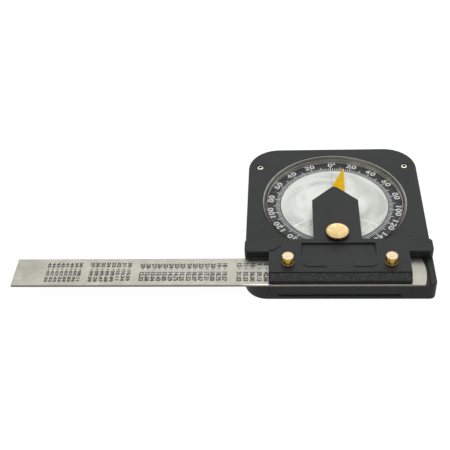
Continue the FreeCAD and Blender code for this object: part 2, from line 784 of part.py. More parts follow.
def around(body, feature, count):
    """Repeat a cut around the body's Z axis."""
    pattern = body.newObject("PartDesign::PolarPattern", feature.Name + "_ring")
    pattern.Originals = [feature]
    axis = [item for item in body.Origin.OriginFeatures if item.Role == "Z_Axis"][0]
    pattern.Axis = (axis, [""])
    pattern.Angle = 360
    pattern.setExpression("Occurrences", bind(count))
    body.Tip = pattern
    before = feature.Shape.Volume
    doc.recompute()
    if pattern.Shape.Volume >= before:
        raise ValueError("%s repeats nothing" % pattern.Name)
    return pattern


# Lock screw: thin knurled brass head over the tongue
lock_insert = tapped_insert("dial_lock_insert", "tongue_under",
                            "lens_top + contact_gap + pad_height + lock_lift + seat_gap")
lock_pad = pressure_pad("dial_lock_pad", "lens_top + contact_gap")
lock = turned("dial_lock_screw", shank("lens_top + contact_gap", "lock_head_under") + [
    ("lock_head_radius - lock_tooth_depth", "lock_head_under"),
    ("lock_head_radius", "lock_head_under + lock_tooth_depth"),
    ("lock_head_radius", "lock_head_top - lock_tooth_depth"),
    ("lock_head_radius - lock_tooth_depth", "lock_head_top"),
    ("0", "lock_head_top")])
tooth = new_sketch(lock, "lock_tooth_gap", "XY_Plane", "lock_head_under - seat_gap")
polygon(tooth, [
    ("lock_head_radius - lock_tooth_depth", "0"),
    ("lock_head_radius + lock_tooth_depth / 2", "-lock_tooth_half_width"),
    ("lock_head_radius + lock_tooth_depth / 2", "lock_tooth_half_width")])
around(lock, pocket(lock, tooth, "lock_head_height + 2 * seat_gap", reverse=True), "lock_tooth_count")
for body in (lock_insert, lock_pad, lock):
    place(body, "0", "-lock_place")

# Rule clamp screws: small fluted brass knobs with a collar, one at each end of the bridge
clamp_insert = tapped_insert("clamp_insert_form", "bridge_under",
                             "rule_top + contact_gap + pad_height + clamp_lift + seat_gap")
clamps = []
for side, (x, y) in zip(("left", "right"), CLAMP_PLACES):
    clamp_pad = pressure_pad(side + "_clamp_pad", "rule_top + contact_gap")
    knob = turned(side + "_clamp_screw", shank("rule_top + contact_gap", "clamp_head_under") + [
        ("clamp_collar_radius", "clamp_head_under"),
        ("clamp_collar_radius", "clamp_collar_top"),
        ("clamp_grip_radius", "clamp_collar_top"),
        ("clamp_grip_radius", "clamp_top - clamp_top_chamfer"),
        ("clamp_grip_radius - clamp_top_chamfer", "clamp_top"),
        ("0", "clamp_top")])
    flute = new_sketch(knob, side + "_flute", "XY_Plane", "clamp_collar_top")
    circle(flute, "clamp_grip_radius + clamp_flute_radius / 2", "0", "clamp_flute_radius")
    around(knob, pocket(knob, flute, "clamp_grip_height + seat_gap", reverse=True), "clamp_flute_count")
    for body in (clamp_pad, knob):
        place(body, x, y)
    clamps += [clamp_pad, knob]

# Steel rule: square end on the left, bowed end on the right
rule = new_body("steel_rule")
rule_outline = new_sketch(rule, "rule_outline", "XY_Plane", "rule_under")
low = value("-case_front_reach")
high = value("-rule_setback")
left = value("rule_right - rule_length")
right = value("rule_right")
tip = value("rule_right + rule_end_bulge")
corners = [FreeCAD.Vector(right, high, 0), FreeCAD.Vector(left, high, 0),
           FreeCAD.Vector(left, low, 0), FreeCAD.Vector(right, low, 0)]
for i in range(3):
    rule_outline.addGeometry(Part.LineSegment(corners[i], corners[i + 1]), False)
bow = rule_outline.addGeometry(Part.Arc(corners[3], FreeCAD.Vector(tip, (low + high) / 2, 0), corners[0]), False)
for first, second in ((0, 1), (1, 2), (2, 3)):
    rule_outline.addConstraint(Sketcher.Constraint("Coincident", first, 2, second, 1))
rule_outline.addConstraint(Sketcher.Constraint("Coincident", bow, 2, 0, 1))
pin(rule_outline, 0, 1, "rule_right", "-rule_setback")
pin(rule_outline, 1, 1, "rule_right - rule_length", "-rule_setback")
pin(rule_outline, 2, 1, "rule_right - rule_length", "-case_front_reach")
pin(rule_outline, 2, 2, "rule_right", "-case_front_reach")
index = rule_outline.addConstraint(Sketcher.Constraint("Radius", bow, value("bow_radius")))
rule_outline.setExpression("Constraints[%d]" % index, bind("bow_radius"))
pad(rule, rule_outline, "rule_thickness")


def spread(label, form, places):
    """Copies of one turned form at each of its places, as separate solids of one node."""
    node = doc.addObject("Part::Feature", label)
    solids = []
    for x, y in places:
        solid = form.Shape.copy()
        solid.translate(FreeCAD.Vector(value(x), value(y), 0))
        solids.append(solid)
    node.Shape = Part.makeCompound(solids)
    node.Label = label
    return node


def screw_form(label, head_under, head_height, tip, up):
    """Small socket screw between its tip and its head, which is on top where up is True."""
    way = "+" if up else "-"
    back = "-" if up else "+"
    top = "%s %s %s" % (head_under, way, head_height)
    return turned(label, [
        ("0", tip),
        ("small_screw_radius", tip),
        ("small_screw_radius", head_under),
        ("small_head_radius", head_under),
        ("small_head_radius", "%s %s small_head_round" % (top, back)),
        ("small_head_radius - small_head_round", top),
        ("socket_radius", top),
        ("socket_radius", "%s %s socket_share * %s" % (top, back, head_height)),
        ("0", "%s %s socket_share * %s" % (top, back, head_height))])


# Screws: two show in the far corners, the others enter from behind
corner_form = screw_form("corner_screw_form", "corner_head_under", "small_head_height", "corner_tip_height", True)
rear_form = screw_form("rear_screw_form", "rear_head_top", "rear_head_height", "rear_screw_top", False)
carrier_form = screw_form("carrier_screw_form", "hidden_head_top", "small_head_height", "carrier_screw_top", False)
edge_form = screw_form("edge_screw_form", "hidden_head_top", "small_head_height", "edge_screw_top", False)
sets = [spread("corner_screws", corner_form, CORNER_PLACES),
        spread("rear_screws", rear_form, REAR_PLACES),
        spread("carrier_screws", carrier_form, CARRIER_PLACES),
        spread("edge_insert_screws", edge_form, EDGE_PLACES),
        spread("clamp_inserts", clamp_insert, CLAMP_PLACES)]

nodes = [case, cover, felt, cup, scale_ring, disc, bush, gasket, lens, pivot, cap, hub, pointer, weight,
         insert, magnet, carrier, lock_insert, lock_pad, lock, rule] + clamps + sets
doc.recompute()
for item in doc.Objects:
    if "Invalid" in item.State or "Error" in item.State:
        raise ValueError("%s failed" % item.Label)
os.makedirs("parts", exist_ok=True)
for node in nodes:
    shape = node.Shape
    if shape.isNull() or not shape.isValid() or not shape.Solids:
        raise ValueError("%s is not a sound solid" % node.Label)
    shape.exportStep("parts/%s.step" % node.Label)
    print("%-20s %2d solid %10.2f mm3" % (node.Label, len(shape.Solids), shape.Volume))
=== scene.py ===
import math
from functools import reduce

import bmesh
import bpy
import numpy as np
from mathutils import Matrix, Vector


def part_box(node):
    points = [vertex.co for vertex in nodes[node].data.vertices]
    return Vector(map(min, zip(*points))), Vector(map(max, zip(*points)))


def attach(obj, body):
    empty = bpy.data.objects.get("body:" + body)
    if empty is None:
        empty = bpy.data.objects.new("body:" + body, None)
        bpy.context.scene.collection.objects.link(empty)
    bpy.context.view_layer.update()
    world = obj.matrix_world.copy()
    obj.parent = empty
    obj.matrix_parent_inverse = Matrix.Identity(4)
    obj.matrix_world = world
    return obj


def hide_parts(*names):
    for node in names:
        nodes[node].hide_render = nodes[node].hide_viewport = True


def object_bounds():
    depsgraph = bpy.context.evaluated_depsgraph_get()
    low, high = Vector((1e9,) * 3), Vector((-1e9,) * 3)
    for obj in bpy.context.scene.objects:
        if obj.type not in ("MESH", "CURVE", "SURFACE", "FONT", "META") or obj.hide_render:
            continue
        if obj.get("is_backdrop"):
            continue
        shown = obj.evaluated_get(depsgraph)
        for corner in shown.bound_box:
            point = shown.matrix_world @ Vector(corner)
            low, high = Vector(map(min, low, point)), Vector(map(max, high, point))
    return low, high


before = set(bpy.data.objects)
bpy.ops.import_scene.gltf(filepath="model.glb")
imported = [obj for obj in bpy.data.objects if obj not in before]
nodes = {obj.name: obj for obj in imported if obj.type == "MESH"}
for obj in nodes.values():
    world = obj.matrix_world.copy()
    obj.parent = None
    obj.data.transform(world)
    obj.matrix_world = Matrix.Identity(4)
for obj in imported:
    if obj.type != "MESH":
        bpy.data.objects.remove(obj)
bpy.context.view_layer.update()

mm = 0.001
scene = bpy.context.scene


# Case body
# The case is one charcoal moulding with a fine spark-eroded skin. Its corners and rims are softly
# rounded and are worn a little paler and smoother where hands and benches touch them; that paler
# edge is also a painted highlight.

def give(tree, socket, value):
    """Links a socket to another one, or sets it to a plain value."""
    if isinstance(value, bpy.types.NodeSocket):
        tree.links.new(value, socket)
    else:
        socket.default_value = value


def put(tree, kind, **settings):
    """Shader node: names with a capital are its sockets, linked or set, and the others its settings."""
    made = tree.nodes.new("ShaderNode" + kind)
    for name in sorted(settings, key=lambda word: word[0].isupper()):
        value = settings[name]
        if not name[0].isupper():
            setattr(made, name, value)
            continue
        give(tree, [s for s in made.inputs if s.name == name.replace("_", " ") and s.enabled][0], value)
    return made


def join(tree, made, terms):
    """First output of a node whose sockets are given the terms in order."""
    for socket, term in zip(made.inputs, terms):
        give(tree, socket, term)
    return made.outputs[0]


def reckon(tree, operation, *terms, clamp=False):
    """Arithmetic on numbers or sockets."""
    return join(tree, put(tree, "Math", operation=operation, use_clamp=clamp), terms)


def vector(tree, operation, *terms):
    """Arithmetic on vectors, given as sockets or as three numbers."""
    return join(tree, put(tree, "VectorMath", operation=operation), terms)


def times(tree, *terms):
    """Product of numbers or sockets."""
    return reduce(lambda one, two: reckon(tree, "MULTIPLY", one, two), terms)


def most(tree, *terms):
    """Greatest of numbers or sockets."""
    return reduce(lambda one, two: reckon(tree, "MAXIMUM", one, two), terms)


def steps(tree, value, low, high, start=0.0, end=1.0):
    """Value carried in a straight line from low..high to start..end, and held beyond."""
    made = put(tree, "MapRange", Value=value, From_Min=low, From_Max=high, To_Min=start, To_Max=end)
    return made.outputs[0]


def tint(tree, share, one, other):
    """Colour between one, at share 0, and other, at share 1; each a socket or three numbers."""
    one, other = (c if isinstance(c, bpy.types.NodeSocket) else (*c, 1) for c in (one, other))
    return put(tree, "Mix", data_type="RGBA", Factor=share, A=one, B=other).outputs[2]


def effect(name, entries, exits):
    """Empty node group with named sockets; entries hold their usual value."""
    group = bpy.data.node_groups.new(name, "ShaderNodeTree")
    for label, value in entries.items():
        kind = "NodeSocketVector" if isinstance(value, tuple) else "NodeSocketFloat"
        group.interface.new_socket(label, in_out="INPUT", socket_type=kind).default_value = value
    for label, kind in exits.items():
        group.interface.new_socket(label, in_out="OUTPUT", socket_type="NodeSocket" + kind)
    return group, group.nodes.new("NodeGroupInput").outputs, group.nodes.new("NodeGroupOutput").inputs


def use(tree, group, **settings):
    """The group placed in a material, with this material's own values."""
    made = tree.nodes.new("ShaderNodeGroup")
    made.node_tree = group
    for name, value in settings.items():
        give(tree, made.inputs[name], value)
    return made.outputs


def finish(name, **sockets):
    """New material; plain values go on the Principled shader's own sockets."""
    material = bpy.data.materials.new(name)
    material.use_nodes = True
    shader = material.node_tree.nodes["Principled BSDF"]
    for label, value in sockets.items():
        shader.inputs[label.replace("_", " ")].default_value = value
    return material, material.node_tree, shader


def feed(tree, shader, **sources):
    """Links sockets to the shader's own."""
    for label, source in sources.items():
        tree.links.new(source, shader.inputs[label.replace("_", " ")])


def spot(tree):
    """Place on the piece itself, in metres."""
    return put(tree, "TexCoord").outputs["Object"]


def noise(tree, scale, detail, place=None, **settings):
    """Clouded pattern over the piece, or over a place given as a socket."""
    place = spot(tree) if place is None else place
    return put(tree, "TexNoise", Vector=place, Scale=scale, Detail=detail, **settings).outputs[0]


def relief(tree, height, strength, depth, **normal):
    """Normal that leans as a height rises and falls, with bumps of a depth in mm."""
    return put(tree, "Bump", Strength=strength, Distance=depth * mm, Height=height, **normal).outputs[0]


# Soft edge: the normal rounded over a radius, and a mask of how far it leans from the face's own
soft_edge, given, result = effect("soft_edge", {"Radius": 0.0002}, {"Normal": "Vector", "Edge": "Float"})
rounded = put(soft_edge, "Bevel", samples=6, Radius=given["Radius"]).outputs[0]
flat = put(soft_edge, "NewGeometry").outputs["Normal"]
lean = put(soft_edge, "VectorMath", operation="DOT_PRODUCT")
soft_edge.links.new(rounded, lean.inputs[0])
soft_edge.links.new(flat, lean.inputs[1])
soft_edge.links.new(rounded, result["Normal"])
soft_edge.links.new(steps(soft_edge, lean.outputs["Value"], 0.99, 0.80), result["Edge"])

# Moulded skin: eroded pits of one size, broad patches where the melt set unevenly, and stray scuffs
moulded_skin, given, result = effect("moulded_skin", {"Pits": 3200.0},
                                     {"Height": "Float", "Tone": "Float", "Scuff": "Float"})
pits = noise(moulded_skin, given["Pits"], 2.0, Roughness=0.6)
patches = noise(moulded_skin, 70.0, 3.0)
scuffs = noise(moulded_skin, 900.0, 4.0, Distortion=1.2)
tone = reckon(moulded_skin, "ADD", times(moulded_skin, pits, 0.45), times(moulded_skin, patches, 0.55))
moulded_skin.links.new(pits, result["Height"])
moulded_skin.links.new(tone, result["Tone"])
moulded_skin.links.new(steps(moulded_skin, scuffs, 0.62, 0.75), result["Scuff"])


def moulding(name, dark, light, worn_and_highlit, rough, pits=3200.0, depth=0.012, edge=0.22):
    """Moulded plastic: two near tones, a paler edge that is both wear and painted highlight, and the pits as
    bumps of depth mm.
    """
    material, tree, shader = finish(name, Specular_IOR_Level=0.24)
    skin = use(tree, moulded_skin, Pits=pits)
    soft = use(tree, soft_edge, Radius=edge * mm)
    shade = tint(tree, steps(tree, skin["Tone"], 0.36, 0.64), dark, light)
    # Wear and painted highlight: the soft edge turns paler where scuffs fall.
    wear_and_highlight = times(tree, soft["Edge"], steps(tree, skin["Scuff"], 0.0, 1.0, 0.35, 0.9))
    gloss = steps(tree, skin["Height"], 0.3, 0.7, rough + 0.05, rough - 0.05)
    feed(tree, shader,
         Base_Color=tint(tree, wear_and_highlight, shade, worn_and_highlit),
         Roughness=reckon(tree, "SUBTRACT", gloss, times(tree, wear_and_highlight, 0.12)),
         Normal=relief(tree, skin["Height"], 0.8, depth, Normal=soft["Normal"]))
    return material


def dress(node, material):
    """Puts a finish on a CAD node."""
    nodes[node].data.materials.clear()
    nodes[node].data.materials.append(material)


dress("case_body", moulding("case_charcoal", (0.017, 0.0182, 0.018), (0.025, 0.0265, 0.026),
                            (0.05, 0.052, 0.051), 0.52))


# Rear cover
# A flat moulded plate let into the back of the case. It lies on the bench, so it is coarser, and
# two screws at the front and two from the far corners hold it.

dress("rear_cover", moulding("cover_charcoal", (0.014, 0.015, 0.015), (0.022, 0.023, 0.023),
                             (0.045, 0.046, 0.045), 0.6, pits=1700.0, depth=0.03, edge=0.3))


# Felt ring and dial cup
# The ring of grey felt makes the dial turn stiffly. The cup that it carries is a turned black
# moulding whose ribbed floor holds the scale, the disc and the lens.

felt, tree, shader = finish("grey_felt", Roughness=0.95, Sheen_Weight=0.4)
fibres = noise(tree, 5200.0, 5.0, Distortion=2.5)
feed(tree, shader,
     Base_Color=tint(tree, steps(tree, fibres, 0.35, 0.65), (0.10, 0.10, 0.095), (0.21, 0.21, 0.20)),
     Normal=relief(tree, fibres, 0.7, 0.08))
dress("friction_ring", felt)
dress("dial_cup", moulding("cup_black", (0.012, 0.012, 0.012), (0.018, 0.018, 0.018),
                           (0.04, 0.04, 0.04), 0.4, pits=4200.0, depth=0.006))


# Scale ring
# A black ring round the disc, printed in white: a line every two degrees, a longer one every
# ten, and upright figures with heavy stems and fine feet, counted both ways from the top.

def shell(points, ring=True, loop=False):
    """Vertices and faces of a grid of points, row by row: a quad between neighbours, closed round
    the second index if ring and the first if loop; rows that stay open end in one flat face each."""
    rows, cols = points.shape[:2]
    count = np.arange(rows * cols).reshape(rows, cols)
    ahead = np.roll(count, -1, 1) if ring else count[:, 1:]
    stay = count if ring else count[:, :-1]
    last = rows if loop else rows - 1
    low, low_next = stay[:last], ahead[:last]
    high, high_next = np.roll(stay, -1, 0)[:last], np.roll(ahead, -1, 0)[:last]
    faces = np.stack([low, low_next, high_next, high], -1).reshape(-1, 4).tolist()
    if ring and not loop:
        faces += [count[0, ::-1].tolist(), count[-1].tolist()]
    return points.reshape(-1, 3), faces


def piece(name, shells, material, body, smooth=32.0, stands_for=()):
    """New piece made of shells: doubles merged, faces turned outwards, shading smooth below an angle."""
    spots = np.concatenate([s[0] for s in shells])
    starts = np.cumsum([0] + [len(s[0]) for s in shells])
    faces = [[corner + int(start) for corner in face] for s, start in zip(shells, starts) for face in s[1]]
    mesh = bpy.data.meshes.new(name)
    mesh.from_pydata(spots, [], faces)
    form = bmesh.new()
    form.from_mesh(mesh)
    bmesh.ops.remove_doubles(form, verts=form.verts, dist=0.0005 * mm)
    bmesh.ops.dissolve_degenerate(form, edges=form.edges, dist=0.0005 * mm)
    bmesh.ops.recalc_face_normals(form, faces=form.faces)
    form.to_mesh(mesh)
    form.free()
    mesh.shade_smooth()
    mesh.set_sharp_from_angle(angle=math.radians(smooth))
    mesh.materials.append(material)
    made = bpy.data.objects.new(name, mesh)
    scene.collection.objects.link(made)
    if stands_for:
        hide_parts(*stands_for)
    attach(made, body)
    return made


def bars(path, width, low, high, closed=False):
    """Flat bar along each point of a path in the plane: half the width to either side, square to the
    path's own direction, at two levels."""
    if closed:
        way = np.roll(path, -1, 0) - np.roll(path, 1, 0)
    else:
        way = np.gradient(path, axis=0)
    way /= np.linalg.norm(way, axis=1)[:, None]
    side = np.stack([-way[:, 1], way[:, 0]], 1) * width[:, None] / 2
    corners = []
    for offset, level in ((side, low), (side, high), (-side, high), (-side, low)):
        corners.append(np.column_stack([path + offset, np.full(len(path), level)]))
    return shell(np.stack(corners, 1), loop=closed)


def bow(x, y, wide, tall, start, stop, count=22):
    """Points of an arc of an ellipse round (x, y), from one angle to another in degrees."""
    turn = np.radians(np.linspace(start, stop, count))
    return np.column_stack([x + wide * np.cos(turn), y + tall * np.sin(turn)])


def line(*corners):
    """Straight strokes through the corners, with a few points on each."""
    corners = np.array(corners, float)
    return np.concatenate([np.linspace(a, b, 4) for a, b in zip(corners, corners[1:])])


def whole(x, y, wide, tall):
    """Closed stroke round an ellipse."""
    return bow(x, y, wide, tall, 0, 348.75, 32), True


# Strokes of each figure, with its height as 1 and x from its middle, and whether a stroke is closed
FIGURES = {
    "0": [whole(0, 0.5, 0.30, 0.44)],
    "1": [(line((0.02, 0.03), (0.02, 0.97)), False), (line((-0.22, 0.045), (0.26, 0.045)), False),
          (line((-0.22, 0.78), (0.02, 0.92)), False)],
    "2": [(np.concatenate([bow(-0.01, 0.69, 0.27, 0.25, 170, -30),
                           line((0.19, 0.53), (-0.30, 0.10))[1:]]), False),
          (line((-0.34, 0.07), (0.36, 0.07)), False), (line((0.33, 0.06), (0.35, 0.25)), False)],
    "4": [(line((0.12, 0.94), (-0.38, 0.30)), False), (line((-0.38, 0.28), (0.38, 0.28)), False),
          (line((0.15, 0.97), (0.15, 0.03)), False), (line((-0.05, 0.045), (0.35, 0.045)), False)],
    "6": [whole(0.0, 0.30, 0.28, 0.25), (bow(0.26, 0.32, 0.54, 0.61, 178, 92), False)],
    "8": [whole(0, 0.72, 0.23, 0.215), whole(0, 0.28, 0.29, 0.235)],
    "o": [whole(0.0, 0.80, 0.11, 0.11)],
}


def figures(text, height, radius, turn, low, high):
    """Figures standing on a circle, tops outwards: heavy where a stroke runs up, fine where it runs
    across, and each stroke carried from its own upright plane to the circle at turn degrees."""
    out = math.radians(turn)
    up = np.array([math.sin(out), math.cos(out)])
    along = np.array([math.cos(out), -math.sin(out)])
    made = []
    for place, mark in enumerate(text):
        start = (place - (len(text.rstrip("o")) - 1) / 2) * (0.72 if mark == "o" else 0.98)
        for path, closed in FIGURES[mark]:
            way = np.gradient(path, axis=0)
            rise = np.abs(way[:, 1]) / np.maximum(np.linalg.norm(way, axis=1), 1e-9)
            stroke = (0.125 + 0.105 * rise ** 1.5) * height
            across = (path[:, :1] + start) * height
            flat = across * along + (radius + path[:, 1:] * height) * up
            made.append(bars(flat, stroke, low, high, closed))
    return made


scale_turn = -1.3
ring_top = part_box("scale_ring")[1].z
print_top = ring_top + 0.02 * mm
line_inner = 29.7 * mm
line_short = 31.85 * mm
line_long = 33.1 * mm
line_width = 0.29 * mm
figure_height = 3.2 * mm
figure_foot = 33.35 * mm
marks = []
for degree in range(0, 360, 2):
    out = math.radians(degree + scale_turn)
    way = np.array([math.sin(out), math.cos(out)])
    reach, wide = (line_long, line_width * 1.25) if degree % 10 == 0 else (line_short, line_width)
    marks.append(bars(np.array([way * line_inner, way * reach]), np.full(2, wide), ring_top, print_top))
for step in range(10):
    for side in ((1,) if step in (0, 9) else (1, -1)):
        text = "0o" if step == 0 else str(step * 20)
        turn = side * step * 20 + scale_turn
        marks += figures(text, figure_height, figure_foot, turn, ring_top, print_top)

ink, tree, shader = finish("white_print", Roughness=0.5)
cover = noise(tree, 3000.0, 3.0)
feed(tree, shader,
     Base_Color=tint(tree, steps(tree, cover, 0.3, 0.7), (0.90, 0.92, 0.91), (0.97, 0.98, 0.97)),
     Normal=relief(tree, cover, 0.4, 0.01))
piece("scale_print", marks, ink, "dial")

band, tree, shader = finish("band_black", Specular_IOR_Level=0.35)
weave = noise(tree, 2600.0, 3.0)
dust = noise(tree, 420.0, 5.0)
feed(tree, shader,
     Base_Color=tint(tree, steps(tree, dust, 0.55, 0.75), (0.022, 0.0235, 0.023), (0.034, 0.036, 0.035)),
     Roughness=steps(tree, weave, 0.3, 0.7, 0.45, 0.6),
     Normal=relief(tree, weave, 0.5, 0.01))
dress("scale_ring", band)


# Disc
# A pale silvered metal disc stands in the middle of the ring; its grey clouds are painted
# reflections, and it is darker towards its rim. A fine red line runs to the top of the scale, and a
# thin crinkled foil fills the lower third between two lines.

disc_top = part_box("dial_disc")[1].z
disc_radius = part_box("dial_disc")[1].x
cloud_spread = 105.0
cloud_place = 15.0
edge_line = 30.37 * mm
edge_line_full = 30.50 * mm
silver, tree, shader = finish("clouded_silver", Metallic=0.25, Specular_IOR_Level=0.4)
here = spot(tree)
outward = put(tree, "VectorMath", operation="LENGTH", Vector=here).outputs["Value"]
lift = put(tree, "CombineXYZ", Z=reckon(tree, "MULTIPLY_ADD", outward, cloud_spread, cloud_place))
sweep = vector(tree, "MULTIPLY_ADD", vector(tree, "NORMALIZE", here), (0.8, 0.8, 0.0), lift.outputs[0])
cloud = noise(tree, 1.0, 3.0, sweep, Roughness=0.5, Distortion=0.5)
grain = noise(tree, 4500.0, 2.0)
# Painted reflection: grey clouds over the middle of the disc; and the disc is darker towards its rim.
cloud_reflection = times(tree, steps(tree, cloud, 0.46, 0.68), steps(tree, outward, 8.0 * mm, 22.0 * mm, 0.1, 1.0))
rim_darkening = times(tree, steps(tree, outward, 19.0 * mm, 31.0 * mm), 0.34)
clouds_and_rim_dark = reckon(tree, "ADD", cloud_reflection, rim_darkening, clamp=True)
soft = use(tree, soft_edge, Radius=0.12 * mm)
edge = most(tree, times(tree, soft["Edge"], 0.9),
            steps(tree, outward, edge_line, edge_line_full, 0.0, 0.9))
feed(tree, shader,
     Base_Color=tint(tree, edge, tint(tree, clouds_and_rim_dark, (0.82, 0.835, 0.79), (0.52, 0.56, 0.505)),
                     (0.12, 0.13, 0.125)),
     Roughness=steps(tree, grain, 0.3, 0.7, 0.36, 0.46),
     Normal=relief(tree, grain, 0.35, 0.006, Normal=soft["Normal"]))
dress("dial_disc", silver)

red, tree, shader = finish("red_line", Roughness=0.5)
feed(tree, shader, Base_Color=tint(tree, noise(tree, 900.0, 2.0), (0.50, 0.13, 0.16), (0.68, 0.30, 0.32)))
turned_line = math.radians(scale_turn)
way = np.array([math.sin(turned_line), math.cos(turned_line)])
path = np.array([way * 3.0 * mm, way * 27.2 * mm])
piece("index_line", [bars(path, np.full(2, 0.22 * mm), disc_top, disc_top + 0.02 * mm)], red, "dial")

foil_apex = np.array([0.0, -4.8]) * mm
foil_tilt = math.radians(30.0)
foil_reach = disc_radius - 0.8 * mm


def foil_sheet(rows=90, cols=130):
    """Crinkled foil: each row runs from the apex's own side lines outwards, so a point is the apex
    plus a share of the way to the rim, and its height adds folded sheets of sine waves, each the
    least of three, which leaves sharp creases; it falls to nothing at the edges."""
    turn = np.linspace(math.pi + foil_tilt, 2 * math.pi - foil_tilt, cols)
    way = np.stack([np.cos(turn), np.sin(turn)], -1)
    inner = way @ foil_apex
    reach = -inner + np.sqrt(inner ** 2 - foil_apex @ foil_apex + foil_reach ** 2)
    share = np.linspace(0.0, 1.0, rows) ** 0.8
    flat = foil_apex + share[:, None, None] * reach[None, :, None] * way[None]
    x, y = flat[..., 0] / mm, flat[..., 1] / mm
    fold = np.minimum(np.abs(np.sin(0.55 * x + 0.9 * y + 0.8 * np.sin(0.5 * x))),
                      np.abs(np.sin(1.1 * x - 0.45 * y + 1.1 * np.sin(0.42 * y + 1.0))))
    fold = np.minimum(fold, np.abs(np.sin(0.35 * x - 1.2 * y + 1.3 * np.sin(0.3 * x + 2.0))))
    edge = np.minimum(share * (1 - share) * 14, 1.0)[:, None] * np.minimum(
        np.minimum(turn - turn[0], turn[-1] - turn) * 9, 1.0)[None]
    top = np.dstack([flat, disc_top + (0.03 + 0.10 * fold * edge) * mm])
    under = np.dstack([flat, np.full(flat.shape[:2], disc_top + 0.004 * mm)])
    border = [(grid[0], grid[1:, -1], grid[-1, -2::-1], grid[-2:0:-1, 0]) for grid in (under, top)]
    wall = shell(np.stack([np.concatenate(b) for b in border]))
    wall = (wall[0], wall[1][:-2])
    return [shell(top, ring=False), shell(under, ring=False), wall]


def off(tree, value, middle):
    """How far a value is from a middle one."""
    return reckon(tree, "ABSOLUTE", reckon(tree, "SUBTRACT", value, middle))


foil, tree, shader = finish("crinkled_foil", Metallic=0.35)
fine = noise(tree, 620.0, 3.0, Roughness=0.6, Distortion=0.9)
broad = noise(tree, 190.0, 2.0, Distortion=1.4)
# Painted shade: thin dark lines where the foil is creased.
crease = reckon(tree, "MINIMUM", off(tree, fine, 0.5), off(tree, broad, 0.5))
blot = noise(tree, 120.0, 3.0, Distortion=1.0)
pale = tint(tree, steps(tree, blot, 0.4, 0.66), (0.73, 0.75, 0.70), (0.64, 0.67, 0.61))
feed(tree, shader,
     Base_Color=tint(tree, steps(tree, crease, 0.006, 0.026, 0.38, 0.0), pale, (0.13, 0.15, 0.13)),
     Roughness=steps(tree, blot, 0.3, 0.7, 0.35, 0.5),
     Normal=relief(tree, steps(tree, crease, 0.0, 0.05), 0.5, 0.05))
piece("crinkled_foil", foil_sheet(), foil, "dial", smooth=60.0)

sides = []
for sign in (-1, 1):
    way = np.array([sign * math.cos(foil_tilt), -math.sin(foil_tilt)])
    across = foil_apex @ way
    end = -across + math.sqrt(across ** 2 - foil_apex @ foil_apex + foil_reach ** 2)
    path = np.array([foil_apex + way * reach for reach in (0.4 * mm, end)])
    sides.append(bars(path, np.full(2, 0.5 * mm), disc_top + 0.01 * mm, disc_top + 0.12 * mm))
border_white, tree, shader = finish("border_white", Metallic=0.3, Roughness=0.36)
rub = steps(tree, noise(tree, 1400.0, 3.0), 0.35, 0.7)
feed(tree, shader, Base_Color=tint(tree, rub, (0.97, 0.97, 0.95), (0.86, 0.88, 0.84)))
piece("foil_border", sides, border_white, "dial")


# Pivot, hub, pointer and weight
# A steel pin in a brass bush carries the pendulum: a brass hub with a yellow sheet-metal pointer
# on top and a lead weight opposite, held by a small cap. It swings freely over the disc.

def axes(tree, place=None):
    """X, Y and Z of the place on the piece, or of a place given as a socket."""
    return put(tree, "SeparateXYZ", Vector=spot(tree) if place is None else place).outputs


def from_axis(tree, apart):
    """Distance from the upright axis."""
    squares = [reckon(tree, "POWER", apart[k], 2.0) for k in (0, 1)]
    return reckon(tree, "SQRT", reckon(tree, "ADD", *squares))


# Painted highlight: besides the tool's rings, Tone lays rays of lighter and darker colour round the axis,
# standing for the bow-tie highlights of turned metal.
lathe_rings_and_painted_rays, given, result = effect(
    "lathe_rings_and_painted_rays", {"Centre": (0.0, 0.0, 0.0), "Pitch": 0.00012}, {"Height": "Float", "Tone": "Float"})
apart = axes(lathe_rings_and_painted_rays, vector(lathe_rings_and_painted_rays, "SUBTRACT", spot(lathe_rings_and_painted_rays), given["Centre"]))
reach = from_axis(lathe_rings_and_painted_rays, apart)
rings = reckon(lathe_rings_and_painted_rays, "DIVIDE", reckon(lathe_rings_and_painted_rays, "ADD", reach, apart[2]),
               reckon(lathe_rings_and_painted_rays, "DIVIDE", given["Pitch"], 2 * math.pi))
turn = reckon(lathe_rings_and_painted_rays, "ARCTAN2", apart[1], apart[0])
round_it = put(lathe_rings_and_painted_rays, "CombineXYZ", X=reckon(lathe_rings_and_painted_rays, "COSINE", turn),
               Y=reckon(lathe_rings_and_painted_rays, "SINE", turn), Z=times(lathe_rings_and_painted_rays, reach, 60.0)).outputs[0]
lathe_rings_and_painted_rays.links.new(reckon(lathe_rings_and_painted_rays, "SINE", rings), result["Height"])
lathe_rings_and_painted_rays.links.new(noise(lathe_rings_and_painted_rays, 2.6, 3.0, round_it, Roughness=0.6), result["Tone"])


def turned_metal(name, dark, light, rough, centre=(0.0, 0.0, 0.0), pitch=0.12, glow=None):
    """Turned metal: rings left by the tool, painted rays of highlight and shade round the axis, and
    edges polished by fingers, painted paler still as a highlight."""
    material, tree, shader = finish(name, Metallic=1.0)
    lathe = use(tree, lathe_rings_and_painted_rays, Centre=centre, Pitch=pitch * mm)
    soft = use(tree, soft_edge, Radius=0.1 * mm)
    specks = noise(tree, 2400.0, 3.0)
    share = reckon(tree, "ADD", times(tree, lathe["Tone"], 0.8), times(tree, specks, 0.2))
    body = tint(tree, steps(tree, share, 0.38, 0.62), dark, light)
    # Painted highlight: the soft edge turns to the paler glow colour.
    feed(tree, shader,
         Base_Color=tint(tree, times(tree, soft["Edge"], 0.6), body, glow or light),
         Roughness=steps(tree, specks, 0.3, 0.7, rough + 0.05, rough - 0.05),
         Normal=relief(tree, lathe["Height"], 0.25, 0.004, Normal=soft["Normal"]))
    return material


